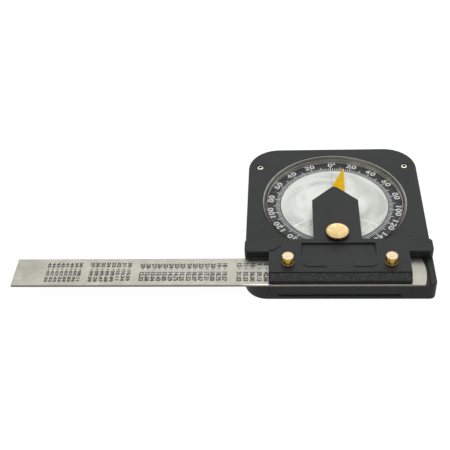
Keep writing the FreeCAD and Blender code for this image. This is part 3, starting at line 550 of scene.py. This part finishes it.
def reopen(material):
    """Tree and shader of a finished material, and the colour that feeds it so far."""
    tree = material.node_tree
    shader = tree.nodes["Principled BSDF"]
    return tree, shader, shader.inputs["Base Color"].links[0].from_socket


def darken_below_top(material, centre, inner, outer, top, darker_colour, pair=False):
    """Darker colour below the top: full within the inner radius, none at the outer one. A pair is the
    same on both sides of the case."""
    tree, shader, bright = reopen(material)
    here = vector(tree, "ABSOLUTE", spot(tree)) if pair else spot(tree)
    apart = axes(tree, vector(tree, "SUBTRACT", here, (*centre, 0.0)))
    share = times(tree, steps(tree, from_axis(tree, apart), outer, inner),
                  steps(tree, apart[2], top, top - 0.2 * mm))
    feed(tree, shader, Base_Color=tint(tree, share, bright, darker_colour))


hub_brass = turned_metal("hub_brass", (0.60, 0.42, 0.15), (0.78, 0.58, 0.25), 0.3)
for node in ("pivot_bush", "pivot_cap", "pointer_hub"):
    dress(node, hub_brass)
dress("pivot_pin", turned_metal("pin_steel", (0.50, 0.50, 0.49), (0.66, 0.66, 0.64), 0.25))

yellow, tree, shader = finish("pointer_yellow", Specular_IOR_Level=0.04)
soft = use(tree, soft_edge, Radius=0.1 * mm)
coat = noise(tree, 1500.0, 3.0)
warm = noise(tree, 130.0, 2.0)
paint = tint(tree, steps(tree, warm, 0.38, 0.62), (0.84, 0.50, 0.0), (0.92, 0.56, 0.0))
feed(tree, shader,
     Base_Color=tint(tree, times(tree, soft["Edge"], 0.5), paint, (0.86, 0.66, 0.08)),
     Roughness=steps(tree, coat, 0.3, 0.7, 0.42, 0.55),
     Normal=relief(tree, coat, 0.4, 0.01, Normal=soft["Normal"]))
dress("pointer", yellow)

lead, tree, shader = finish("weight_lead", Metallic=0.8)
soft = use(tree, soft_edge, Radius=0.2 * mm)
cast = noise(tree, 1100.0, 5.0)
feed(tree, shader,
     Base_Color=tint(tree, cast, (0.16, 0.165, 0.17), (0.34, 0.35, 0.36)),
     Roughness=steps(tree, cast, 0.3, 0.7, 0.5, 0.7),
     Normal=relief(tree, cast, 0.6, 0.05, Normal=soft["Normal"]))
dress("pendulum_weight", lead)


# Lens and gasket
# The crystal is one clear acrylic moulding, a flat front with a rounded shoulder and a wall that
# stands on a rubber ring. It is polished all over; the bright and dark lines and the brownish band
# on its wall and shoulder are painted highlights and reflections.

lens_low, lens_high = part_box("lens")
lens_radius = lens_high.x
lens_wall = 2.0 * mm
lens_plate = 1.6 * mm
lens_round = 1.1 * mm
inner_round = 0.5 * mm


def around(reach, level, round_it, centre=(0.0, 0.0)):
    """Shell of rows turned about an axis at the centre, from radii and levels."""
    return shell(np.stack([centre[0] + reach * np.cos(round_it), centre[1] + reach * np.sin(round_it),
                           np.broadcast_to(level, (len(level), len(round_it)))], -1))


def lens_form(count=256):
    """Half section of the crystal turned about Z: wall, quarter-round shoulder and flat front outside,
    and inside the same with a smaller round; row by row the radius and height of the section."""
    turn = np.radians(np.linspace(0, 90, 12))
    front = lens_high.z
    under = front - lens_plate
    inside = lens_radius - lens_wall
    outer = np.column_stack([lens_radius - lens_round + lens_round * np.cos(turn),
                             front - lens_round + lens_round * np.sin(turn)])
    inner = np.column_stack([inside - inner_round + inner_round * np.cos(turn[::-1]),
                             under - inner_round + inner_round * np.sin(turn[::-1])])
    section = np.concatenate([
        [(0, under), (inside * 0.5, under)], inner, [(inside, lens_low.z), (lens_radius, lens_low.z)], outer,
        [(inside, front), (inside * 0.5, front), (0, front)]])
    return around(section[:, :1], section[:, 1:], np.linspace(0, 2 * math.pi, count, endpoint=False))


def blend(tree, share, one, other):
    """Shader between one, at share 0, and other, at share 1."""
    return join(tree, tree.nodes.new("ShaderNodeMixShader"), (share, one, other))


window, tree, shader = finish("clear_window", Base_Color=(0.9, 0.92, 0.91, 1), Metallic=1.0)
wipe = noise(tree, 240.0, 6.0, Distortion=2.0)
mirror = times(tree, put(tree, "Fresnel", IOR=1.49).outputs[0],
               reckon(tree, "SUBTRACT", 1.0, put(tree, "NewGeometry").outputs["Backfacing"]))
feed(tree, shader,
     Roughness=steps(tree, wipe, 0.4, 0.7, 0.02, 0.10),
     Alpha=times(tree, mirror, steps(tree, wipe, 0.3, 0.7, 0.13, 0.20)))

# Edge of the crystal: each mask is a painted highlight line or a painted reflection band on the wall or the
# shoulder
upper_level = 10.75 * mm
middle_level = 9.7 * mm
ridge_radius = 38.05 * mm
shoulder_radius = 38.1 * mm
shoulder_full = 38.35 * mm
edge_clear, tree, shader = finish("clear_edge", Specular_IOR_Level=0.5)
apart = axes(tree)
level = apart[2]
outward = from_axis(tree, apart)
behind = put(tree, "NewGeometry").outputs["Backfacing"]
front_side = reckon(tree, "SUBTRACT", 1.0, behind)
flow = noise(tree, 1.0, 2.0, vector(tree, "MULTIPLY", spot(tree), (40.0, 40.0, 1300.0)))
facing = put(tree, "LayerWeight", Blend=0.5).outputs["Facing"]
on_inside = times(tree, reckon(tree, "LESS_THAN", outward, lens_radius - lens_wall / 2),
                  reckon(tree, "LESS_THAN", level, lens_high.z - lens_plate))
# Painted highlights: pale lines at the foot of the wall and at two heights on it, and along the shoulder,
# ridge and inner round where they face the view.
foot_line = times(tree, steps(tree, level, ring_top + 0.75 * mm, ring_top + 0.6 * mm),
                  steps(tree, level, ring_top + 0.2 * mm, ring_top + 0.3 * mm))
upper_line = steps(tree, off(tree, level, upper_level), 0.2 * mm, 0.12 * mm)
middle_line = steps(tree, off(tree, level, middle_level), 0.2 * mm, 0.12 * mm)
lit = times(tree, on_inside, most(tree, foot_line, times(tree, upper_line, 0.9)))
lit = most(tree, lit, times(tree, middle_line, behind, 0.7))
foot = most(tree, times(tree, reckon(tree, "LESS_THAN", level, ring_top - 0.05 * mm), on_inside),
            reckon(tree, "LESS_THAN", level, lens_low.z + 0.01 * mm))
inner_share = times(tree, on_inside, front_side, 0.82)
outer_share = times(tree, reckon(tree, "GREATER_THAN", outward, lens_radius - 0.1 * mm), behind, 0.7)
on_round = reckon(tree, "GREATER_THAN", level, lens_high.z - lens_round)
shoulder = times(tree, steps(tree, outward, shoulder_radius, shoulder_full),
                 steps(tree, facing, 0.35, 0.65), on_round)
ridge = times(tree, steps(tree, off(tree, outward, ridge_radius), 0.16 * mm, 0.08 * mm),
              steps(tree, facing, 0.27, 0.38), on_round)
fillet = times(tree, reckon(tree, "GREATER_THAN", level, lens_high.z - lens_plate - inner_round),
               steps(tree, facing, 0.3, 0.5), on_inside)
shoulder = most(tree, shoulder, times(tree, ridge, 0.7), times(tree, fillet, 0.75))
mirror = times(tree, put(tree, "Fresnel", IOR=1.49).outputs[0], front_side)
# Painted reflection: the wall is a streaked brownish grey, paler where it faces the view, and pale along the
# painted highlights.
painted_wall_reflection = tint(tree, steps(tree, flow, 0.38, 0.62), (0.22, 0.215, 0.175), (0.62, 0.605, 0.53))
painted_wall_reflection = tint(tree, steps(tree, facing, 0.45, 0.95, 0.0, 0.75), painted_wall_reflection, (0.70, 0.69, 0.63))
painted_wall_reflection = tint(tree, most(tree, lit, times(tree, shoulder, 0.9)), painted_wall_reflection, (0.95, 0.95, 0.89))
share = most(tree, inner_share, outer_share, times(tree, shoulder, 0.8))
# Painted light: the foot of the wall is an opaque grey, lighter than the shade in the narrow gap where it
# stands.
feed(tree, shader,
     Base_Color=tint(tree, foot, painted_wall_reflection, (0.30, 0.31, 0.30)),
     Roughness=steps(tree, flow, 0.3, 0.7, 0.2, 0.08),
     Alpha=reckon(tree, "ADD", share, most(tree, times(tree, mirror, 0.5), foot), clamp=True))
through = put(tree, "BsdfTransparent", Color=(1.0, 1.0, 1.0, 1)).outputs[0]
both = blend(tree, put(tree, "LightPath").outputs["Is Shadow Ray"], shader.outputs[0], through)
tree.links.new(both, tree.nodes["Material Output"].inputs["Surface"])
crystal = piece("crystal", [lens_form()], window, "dial", stands_for=("lens",))
crystal.data.materials.append(edge_clear)
middles = np.zeros(len(crystal.data.polygons) * 3)
crystal.data.polygons.foreach_get("center", middles)
outside = np.hypot(middles[0::3], middles[1::3]) > lens_radius - lens_wall - inner_round
crystal.data.polygons.foreach_set("material_index", outside.astype(np.int32))
# Painted reflection: the rubber ring is a pale tan, so that the clear wall above it shows a brownish band.
dress("lens_gasket", moulding("gasket_rubber", (0.22, 0.20, 0.155), (0.40, 0.37, 0.30),
                              (0.4, 0.38, 0.32), 0.8))


# Edge insert and magnet
# A harder, denser strip is screwed into the front edge, where the tool slides on the work. The
# magnet strip lies in a slot below it, nearly flush; the dark gap above it is painted shade on
# the magnet's top.

insert_low, insert_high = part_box("edge_insert")
seam_width = 0.36 * mm
insert_skin = moulding("insert_charcoal", (0.015, 0.0162, 0.0162), (0.022, 0.0235, 0.023),
                       (0.10, 0.104, 0.102), 0.46, pits=2600.0, depth=0.01, edge=0.15)
tree, shader, plain = reopen(insert_skin)
apart = axes(tree)
sideways = reckon(tree, "ABSOLUTE", apart[0])
seam = most(tree, steps(tree, sideways, insert_high.x - seam_width, insert_high.x),
            steps(tree, apart[2], insert_low.z + seam_width, insert_low.z))
feed(tree, shader, Base_Color=tint(tree, seam, plain, (0.002, 0.002, 0.002)), Metallic=times(tree, seam, 0.7))
dress("edge_insert", insert_skin)
magnet_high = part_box("magnet_strip")[1]
magnet_skin = moulding("magnet_grey", (0.020, 0.020, 0.021), (0.085, 0.087, 0.09), (0.12, 0.12, 0.12), 0.5,
                       pits=1800.0, depth=0.03)
tree, shader, plain = reopen(magnet_skin)
# Painted shade: the magnet's top face, under the roof of the slot, is nearly black.
gap_shade = steps(tree, axes(tree)[2], magnet_high.z - 0.54 * mm, magnet_high.z - 0.42 * mm)
feed(tree, shader, Base_Color=tint(tree, gap_shade, plain, (0.001, 0.001, 0.001)), Metallic=gap_shade)
dress("magnet_strip", magnet_skin)


# Carrier
# Bar, tongue and bridge are one moulding that clamps dial and rule to the case. Its front slope has
# a speckled grip texture, and two plain arrows and an index flag stand a little proud of its top.

carrier_skin = moulding("carrier_charcoal", (0.0155, 0.0168, 0.0166), (0.0235, 0.025, 0.0246),
                        (0.085, 0.088, 0.086), 0.5)
mark_skin = carrier_skin.copy()
slope_top = -59.35 * mm
slope_foot = -62.4 * mm
slope_half = 35.0 * mm
shade_line_width = 0.32 * mm
ramp_side = 18.6 * mm
ramp_far = -38.2 * mm
ramp_near = ramp_far - 9.6 * mm
ramp_level = 14.4 * mm
tree, shader, plain = reopen(carrier_skin)
pitted = shader.inputs["Normal"].links[0].from_socket
apart = axes(tree)
sideways = reckon(tree, "ABSOLUTE", apart[0])
on_slope = times(tree, reckon(tree, "LESS_THAN", apart[1], slope_top),
                 reckon(tree, "LESS_THAN", sideways, slope_half))
fleck = put(tree, "TexVoronoi", Vector=spot(tree), Scale=2600.0, Randomness=1.0).outputs["Color"]
fleck = axes(tree, fleck)[0]
pale_fleck = times(tree, on_slope, steps(tree, fleck, 0.72, 0.95))
dark_fleck = times(tree, on_slope, steps(tree, fleck, 0.35, 0.1))
flecked = tint(tree, on_slope, plain, (0.043, 0.0445, 0.044))
flecked = tint(tree, dark_fleck, flecked, (0.020, 0.021, 0.0215))
flecked = tint(tree, pale_fleck, flecked, (0.098, 0.102, 0.107))
# Painted shade: dark lines round the top and ends of the slope, over the face below the slope and along the
# sides of the finger ramp.
border = reckon(tree, "MINIMUM", off(tree, sideways, slope_half - 0.25 * mm), off(tree, apart[1], slope_top))
border = times(tree, steps(tree, border, shade_line_width, shade_line_width * 0.6),
               reckon(tree, "LESS_THAN", apart[1], slope_top + shade_line_width))
corner = times(tree, steps(tree, off(tree, sideways, ramp_side), 0.28 * mm, 0.16 * mm),
               reckon(tree, "GREATER_THAN", apart[2], ramp_level),
               steps(tree, apart[1], ramp_near, ramp_near + 1.2 * mm),
               reckon(tree, "LESS_THAN", apart[1], ramp_far))
painted_groove_shade = most(tree, border, reckon(tree, "LESS_THAN", apart[1], slope_foot), corner)
feed(tree, shader,
     Base_Color=tint(tree, times(tree, painted_groove_shade, 0.75), flecked, (0.006, 0.006, 0.006)),
     Metallic=times(tree, painted_groove_shade, 0.8),
     Normal=relief(tree, times(tree, fleck, on_slope), 0.8, 0.06, Normal=pitted))
dress("carrier", carrier_skin)

bridge_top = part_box("carrier")[1].z
mark_rise = 0.4 * mm
mark_chamfer = 0.08 * mm


def inset(outline, gap):
    """Outline moved inwards by a gap: each corner moves along the sum of its two sides' normals,
    divided by one plus their product."""
    before = outline - np.roll(outline, 1, 0)
    after = np.roll(outline, -1, 0) - outline
    one, two = ([-side[:, 1], side[:, 0]] / np.linalg.norm(side, axis=1) for side in (before, after))
    return outline + ((one + two) / (1 + (one * two).sum(0)) * gap).T


def raised(outline, low, high, chamfer):
    """Plate on an outline given counterclockwise: upright sides, a chamfer and a flat top."""
    levels = ((0.0, low), (0.0, high - chamfer), (chamfer, high))
    return shell(np.stack([np.column_stack([inset(outline, gap), np.full(len(outline), level)])
                           for gap, level in levels]))


arrow = np.array([(6.9, -55.6), (16.4, -55.6), (18.5, -53.8), (16.4, -51.8), (6.9, -51.8)]) * mm
mirrored = arrow[::-1] * (-1, 1) + (0.4 * mm, 0)
flag = np.array([(-35.1, -43.85), (-32.95, -43.9), (-29.1, -40.0), (-32.1, -37.2), (-35.1, -40.6)]) * mm
piece("bridge_marks", [raised(form, bridge_top - 0.3 * mm, bridge_top + mark_rise, mark_chamfer)
                       for form in (arrow, mirrored, flag)], mark_skin, "housing")


# Lock screw
# A thin brass thumbscrew with a coarse straight knurl, turned in one piece with its thread. It runs
# in a pressed brass insert and pushes a nylon pad onto the crystal to hold the dial.

def knob(section, centre, bite, count=480):
    """Turned form with cuts round it: each row is a radius, a level and a share of the cut; at an
    angle the radius is the row's own less the share times how deep the cutter bites there."""
    round_it = np.linspace(0, 2 * math.pi, count, endpoint=False)
    radius, level, share = (np.array(section)[:, k:k + 1] * unit for k, unit in ((0, mm), (1, mm), (2, 1)))
    reach = radius - share * bite(round_it)[None]
    return around(reach, level, round_it, centre)


def thread(radius, low, high, centre, pitch=0.5, depth=0.28, count=48):
    """Screw thread: the radius falls and rises once with each pitch of height, and the whole wave
    turns once round the axis in a pitch; both ends run out to the core."""
    round_it = np.linspace(0, 2 * math.pi, count, endpoint=False)
    level = np.linspace(low, high, max(12, int((high - low) / pitch * 10)))[:, None]
    wave = 0.5 - 0.5 * np.cos(2 * math.pi * level / pitch - round_it[None])
    fade = np.clip(np.minimum(level - low, high - level) / 0.15, 0, 1)
    reach = (radius - depth + depth * wave * fade) * mm
    return around(reach, level * mm, round_it, centre)


knurl_count = 34
knurl_depth = 0.62 * mm


def knurl(turn):
    """V cuts of the knurl: a triangle wave without its lower part, which leaves flats between cuts."""
    phase = np.abs((turn * knurl_count / (2 * math.pi)) % 1 - 0.5) * 2
    return np.clip((phase - 0.30) / 0.70, 0, 1) * knurl_depth



lock_low, lock_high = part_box("dial_lock_screw")
lock_centre = (0.0, (lock_low.y + lock_high.y) / 2)
top = lock_high.z / mm
lock_section = [(0.0, top - 0.10, 0), (2.5, top - 0.08, 0), (4.9, top - 0.05, 0), (5.15, top - 0.02, 0),
                (5.3, top, 0.25), (5.62, top, 0.6), (5.8, top - 0.06, 0.85), (5.93, top - 0.2, 1),
                (6.0, top - 0.38, 1), (6.0, top - 1.7, 1), (5.9, top - 1.92, 1), (5.7, top - 2.1, 0.7),
                (5.0, top - 2.1, 0), (1.35, top - 2.1, 0), (0.0, top - 2.1, 0)]
lock_shells = [knob(lock_section, lock_centre, knurl, knurl_count * 16),
               thread(1.5, lock_low.z / mm, top - 2.05, lock_centre)]
lock_brass = turned_metal("lock_brass", (0.48, 0.347, 0.158), (0.61, 0.468, 0.243), 0.28, (*lock_centre, 0.0),
                          pitch=0.16, glow=(0.76, 0.63, 0.38))
# Painted shade: the cuts of the knurl are darker below the top.
darken_below_top(lock_brass, lock_centre, 5.45 * mm, 5.8 * mm, lock_high.z - 0.2 * mm, (0.09, 0.055, 0.017))
piece("lock_thumbscrew", lock_shells, lock_brass, "lock_screw", stands_for=("dial_lock_screw",))
insert_brass = turned_metal("insert_brass", (0.50, 0.35, 0.13), (0.68, 0.50, 0.21), 0.35)
dress("dial_lock_insert", insert_brass)
nylon, tree, shader = finish("pad_nylon", Roughness=0.5, Subsurface_Weight=0.15, Subsurface_Scale=0.0005)
cloudy = noise(tree, 1600.0, 3.0)
feed(tree, shader,
     Base_Color=tint(tree, cloudy, (0.62, 0.61, 0.56), (0.76, 0.75, 0.70)),
     Normal=relief(tree, cloudy, 0.3, 0.02))
for node in ("dial_lock_pad", "left_clamp_pad", "right_clamp_pad"):
    dress(node, nylon)


# Steel rule
# A ground stainless rule, brushed along its length and scratched by use, slides in the channel under
# the bridge. Columns of plain figures are etched black into it, read from its left end.

rule_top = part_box("steel_rule")[1].z
rule_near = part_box("steel_rule")[0].y
steel, tree, shader = finish("brushed_steel", Metallic=1.0)
here = spot(tree)
brush = noise(tree, 1.0, 4.0, vector(tree, "MULTIPLY", here, (60.0, 3800.0, 3800.0)), Roughness=0.65)
leaning = put(tree, "VectorRotate", rotation_type="Z_AXIS", Vector=here, Angle=math.radians(-52.0)).outputs[0]
scratches = noise(tree, 1.0, 2.0, vector(tree, "MULTIPLY", leaning, (70.0, 2600.0, 500.0)))
cloud = noise(tree, 90.0, 4.0, Distortion=0.8)
soft = use(tree, soft_edge, Radius=0.22 * mm)
apart = axes(tree)
# The face is duller towards the case, its near edge is darker left of the case, and the same edge
# has a painted highlight where it runs under the slope
dull = steps(tree, apart[0], -160.0 * mm, -60.0 * mm, 0.0, 0.36)
near_edge_dark = times(tree, steps(tree, apart[1], rule_near + 0.6 * mm, rule_near + 0.2 * mm, 0.0, 0.7),
             steps(tree, apart[0], -70.0 * mm, -40.0 * mm, 1.0, 0.0))
painted_edge_highlight = times(tree, steps(tree, apart[1], rule_near + 0.7 * mm, rule_near + 0.5 * mm),
                  steps(tree, apart[0], -50.0 * mm, -40.0 * mm),
                  steps(tree, apart[0], 34.6 * mm, 35.2 * mm, 1.0, 0.0))
face = tint(tree, steps(tree, brush, 0.3, 0.7), (0.30, 0.30, 0.26), (0.42, 0.415, 0.37))
for share, colour in ((steps(tree, cloud, 0.38, 0.62, 0.0, 0.45), (0.23, 0.23, 0.195)),
                      (steps(tree, scratches, 0.60, 0.72, 0.0, 0.38), (0.56, 0.54, 0.49)),
                      (steps(tree, scratches, 0.40, 0.30, 0.0, 0.5), (0.20, 0.185, 0.15)),
                      (dull, (0.24, 0.24, 0.205)), (near_edge_dark, (0.13, 0.13, 0.105)),
                      (painted_edge_highlight, (0.74, 0.73, 0.67))):
    face = tint(tree, share, face, colour)
# Painted shade: the rule's upright sides are dark, and its edges somewhat darker.
side_shade = steps(tree, apart[2], rule_top - 0.06 * mm, rule_top - 0.16 * mm)
brushed = relief(tree, brush, 0.25, 0.01, Normal=soft["Normal"])
feed(tree, shader,
     Base_Color=tint(tree, most(tree, times(tree, soft["Edge"], 0.5), side_shade), face, (0.13, 0.13, 0.105)),
     Roughness=steps(tree, brush, 0.25, 0.75, 0.34, 0.46),
     Normal=relief(tree, scratches, 0.3, 0.01, Normal=brushed))
dress("steel_rule", steel)

etch_top = rule_top + 0.015 * mm


def etched(text, size, squeeze, x, y):
    """Built-in figures as a flat mesh, turned to read from the far edge to the near one, with their
    tops to the right, narrowed across by a share, and set down on the rule."""
    curve = bpy.data.curves.new("etched", "FONT")
    curve.body = text
    curve.size = size
    curve.offset = 0.045 * size
    curve.resolution_u = 3
    holder = bpy.data.objects.new("etched", curve)
    scene.collection.objects.link(holder)
    bpy.context.view_layer.update()
    flat = bpy.data.meshes.new_from_object(holder.evaluated_get(bpy.context.evaluated_depsgraph_get()))
    spots = np.zeros(len(flat.vertices) * 3)
    flat.vertices.foreach_get("co", spots)
    spots = spots.reshape(-1, 3)
    faces = [list(polygon.vertices) for polygon in flat.polygons]
    bpy.data.objects.remove(holder)
    middle = (spots[:, 1].max() + spots[:, 1].min()) / 2
    placed = np.column_stack([x + (spots[:, 1] - middle) * squeeze, y - spots[:, 0] + spots[:, 0].min(),
                              np.full(len(spots), etch_top)])
    return placed, faces


# Sets of columns: place of the first and step to the next in mm, how many, and a number that the
# figures follow. The last two sets are larger and narrower, and sit a little nearer to the middle:
# each size is followed by the Y of the upper figures, the points and the lower figures.
column_sets = ((-50.23, 3.41, 8, 1), (-57.52, -3.03, 7, 2), (-79.1, -2.95, 8, 3), (-106.55, -2.77, 8, 5),
               (-132.02, -2.36, 8, 7))
wide_rows = (3.15, -47.7, -51.5, -53.7)
narrow_rows = (3.55, -46.8, -51.7, -52.7)
point_radius = 0.42
etchings = []
for first, pitch, count, block in column_sets:
    size, upper, point, lower = wide_rows if block < 5 else narrow_rows
    squeeze = 1.0 if block < 5 else abs(pitch) * 0.265
    for column in range(count):
        x = (first + pitch * column) * mm
        number = 12 - column if pitch > 0 else 10 + column + 4 * block
        drop = 450.0 / (number + 2.5 * block)
        etchings.append(etched("%d" % number, size * mm, squeeze, x, upper * mm))
        etchings.append(etched("%05.2f" % drop, size * mm, squeeze, x, lower * mm))
        dot = bow(0, point, point_radius, point_radius, 0, 337.5, 16) * mm + (x, 0)
        etchings.append((np.column_stack([dot, np.full(16, etch_top)]), [list(range(16))]))
black_etch, tree, shader = finish("black_etch", Roughness=0.6)
worn = steps(tree, noise(tree, 2800.0, 3.0), 0.35, 0.75)
feed(tree, shader, Base_Color=tint(tree, worn, (0.012, 0.011, 0.010), (0.06, 0.056, 0.048)))
piece("rule_figures", etchings, black_etch, "rule")


# Rule clamp screws
# Two tall brass knobs with nine wide flutes over a plain collar press nylon pads onto the rule. Their
# inserts are pressed into the bridge.

flute_count = 9
flute_depth = 0.2 * mm


def flutes(turn):
    """Shallow round flutes: the depth times the square of a wave that runs once for each flute."""
    return flute_depth * (0.5 - 0.5 * np.cos((turn + math.pi / 2) * flute_count + math.pi)) ** 2


for side in ("left", "right"):
    low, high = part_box(side + "_clamp_screw")
    centre = ((low.x + high.x) / 2, (low.y + high.y) / 2)
    top = high.z / mm
    section = [(0.0, top - 0.03, 0), (2.0, top - 0.01, 0), (2.5, top, 0.2), (2.75, top - 0.03, 0.7),
               (2.92, top - 0.12, 1), (3.0, top - 0.25, 1), (3.0, top - 3.85, 1), (3.0, top - 4.05, 0.6),
               (3.03, top - 4.12, 0), (3.10, top - 4.18, 0), (3.12, top - 4.28, 0), (3.12, top - 4.6, 0),
               (3.0, top - 4.8, 0), (1.35, top - 4.8, 0), (0.0, top - 4.8, 0)]
    brass = turned_metal(side + "_brass", (0.47, 0.377, 0.243), (0.54, 0.438, 0.295), 0.3, (*centre, 0.0),
                         pitch=0.1, glow=(0.69, 0.555, 0.345))
    # Painted reflection: the fluted side below the top takes a darker orange tone.
    darken_below_top(brass, centre, 3.0 * mm, 3.2 * mm, high.z - 0.15 * mm, (0.42, 0.265, 0.06))
    shells = [knob(section, centre, flutes), thread(1.5, low.z / mm, top - 4.75, centre)]
    piece(side + "_thumbscrew", shells, brass, side + "_screw", stands_for=(side + "_clamp_screw",))
dress("clamp_inserts", insert_brass)


# Case screws
# Two brass-plated socket screws show in the far corners, and two blackened ones in the back. The
# others enter from behind, under the cover, and are plain.

head_radius = 2.0


def socket_screw(node, name, material):
    """One screw for each box of the node: domed head, six-sided socket and threaded shank. The
    socket's radius at an angle is its flat's distance divided by the cosine to the flat's middle."""
    low, high = (np.array(corner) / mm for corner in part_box(node))
    up = node == "corner_screws"
    head, tip = (high[2], low[2]) if up else (low[2], high[2])
    way = 1 if up else -1
    tall = 1.3 if up else 0.8
    made = []
    for side in (-1, 1):
        centre = (side * (high[0] - head_radius) * mm, (low[1] + high[1]) / 2 * mm)
        round_it = np.linspace(0, 2 * math.pi, 72, endpoint=False)
        flat = 0.9 / np.cos((round_it % (math.pi / 3)) - math.pi / 6)
        rows = [(0.0, 0.68), (flat, 0.62), (flat, 0.06), (flat + 0.07, 0.0), (1.3, 0.0), (1.55, 0.03),
                (1.76, 0.14), (1.86, 0.3), (1.9, 0.48), (1.9, tall - 0.05), (1.85, tall), (0.9, tall),
                (0.0, tall)]
        reach = np.stack([np.broadcast_to(r, 72) for r, depth in rows]) * mm
        level = np.array([head - way * depth for r, depth in rows])[:, None] * mm
        made.append(around(reach, level, round_it, centre))
        ends = sorted((head - way * (tall - 0.05), tip))
        made.append(thread(1.0, ends[0], ends[1], centre, pitch=0.4, depth=0.2, count=32))
    return piece(name, made, material, "housing", stands_for=(node,))


plated = turned_metal("plated_brass", (0.46, 0.43, 0.33), (0.72, 0.69, 0.56), 0.28)
corner_low, corner_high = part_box("corner_screws")
# Darker inside the six-sided sockets of the corner screws.
darken_below_top(plated, (corner_high.x - head_radius * mm, (corner_low.y + corner_high.y) / 2), 0.9 * mm, 1.15 * mm,
        corner_high.z - 0.02 * mm, (0.035, 0.022, 0.01), pair=True)
black_steel = turned_metal("blackened_steel", (0.10, 0.10, 0.10), (0.20, 0.20, 0.20), 0.4)
socket_screw("corner_screws", "corner_socket_screws", plated)
socket_screw("rear_screws", "rear_socket_screws", black_steel)
for node in ("carrier_screws", "edge_insert_screws"):
    dress(node, black_steel)


# Floor, light and camera
# The tool lies on a plain white table under a broad soft light from above and behind.

floor_half = 3.0
floor = bpy.data.objects.new("floor", bpy.data.meshes.new("floor"))
corners = [(x * floor_half, y * floor_half, 0) for x, y in ((-1, -1), (1, -1), (1, 1), (-1, 1))]
floor.data.from_pydata(corners, [], [(0, 1, 2, 3)])
scene.collection.objects.link(floor)


def seen(tree):
    """1 for rays that show a surface, straight, by gloss or through clear parts, and 0 for others."""
    path = put(tree, "LightPath").outputs
    return most(tree, path["Is Camera Ray"], path["Is Glossy Ray"], path["Is Transmission Ray"])


table, tree, shader = finish("white_table", Base_Color=(0.2, 0.2, 0.2, 1), Roughness=0.9,
                             Specular_IOR_Level=0.0, Emission_Color=(1, 1, 1, 1))
feed(tree, shader, Emission_Strength=times(tree, seen(tree), 0.945))
floor.data.materials.append(table)
floor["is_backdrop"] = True

world = bpy.data.worlds.new("studio")
scene.world = world
world.use_nodes = True
tree = world.node_tree
tree.nodes.clear()
soft_grey, white = (put(tree, "Background", Color=(1, 1, 1, 1), Strength=glow).outputs[0]
                    for glow in (0.45, 1.0))
both = blend(tree, seen(tree), soft_grey, white)
tree.links.new(both, tree.nodes.new("ShaderNodeOutputWorld").inputs[0])

lamp = bpy.data.lights.new("overhead", "AREA")
lamp.shape = "RECTANGLE"
lamp.size = 1.1
lamp.size_y = 0.8
lamp.energy = 4.6
holder = bpy.data.objects.new("overhead", lamp)
holder.location = (0.05, 0.35, 0.9)
holder.rotation_mode = "QUATERNION"
holder.rotation_quaternion = holder.location.to_track_quat("Z", "Y")
scene.collection.objects.link(holder)

camera = bpy.data.objects.new("camera", bpy.data.cameras.new("camera"))
camera.data.lens = 68.879
camera.data.sensor_width = 36.0
heading, dip, roll = -0.0954122, 0.7292152, -0.0706430
camera.matrix_world = (Matrix.Translation((-0.02627929, -0.36112896, 0.31807499))
                       @ Matrix.Rotation(-heading, 4, "Z")
                       @ Matrix.Rotation(math.pi / 2 - dip, 4, "X")
                       @ Matrix.Rotation(roll, 4, "Z"))
camera.data.clip_start = 0.01
scene.collection.objects.link(camera)
scene.camera = camera
scene.view_settings.view_transform = "Standard"

low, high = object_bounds()
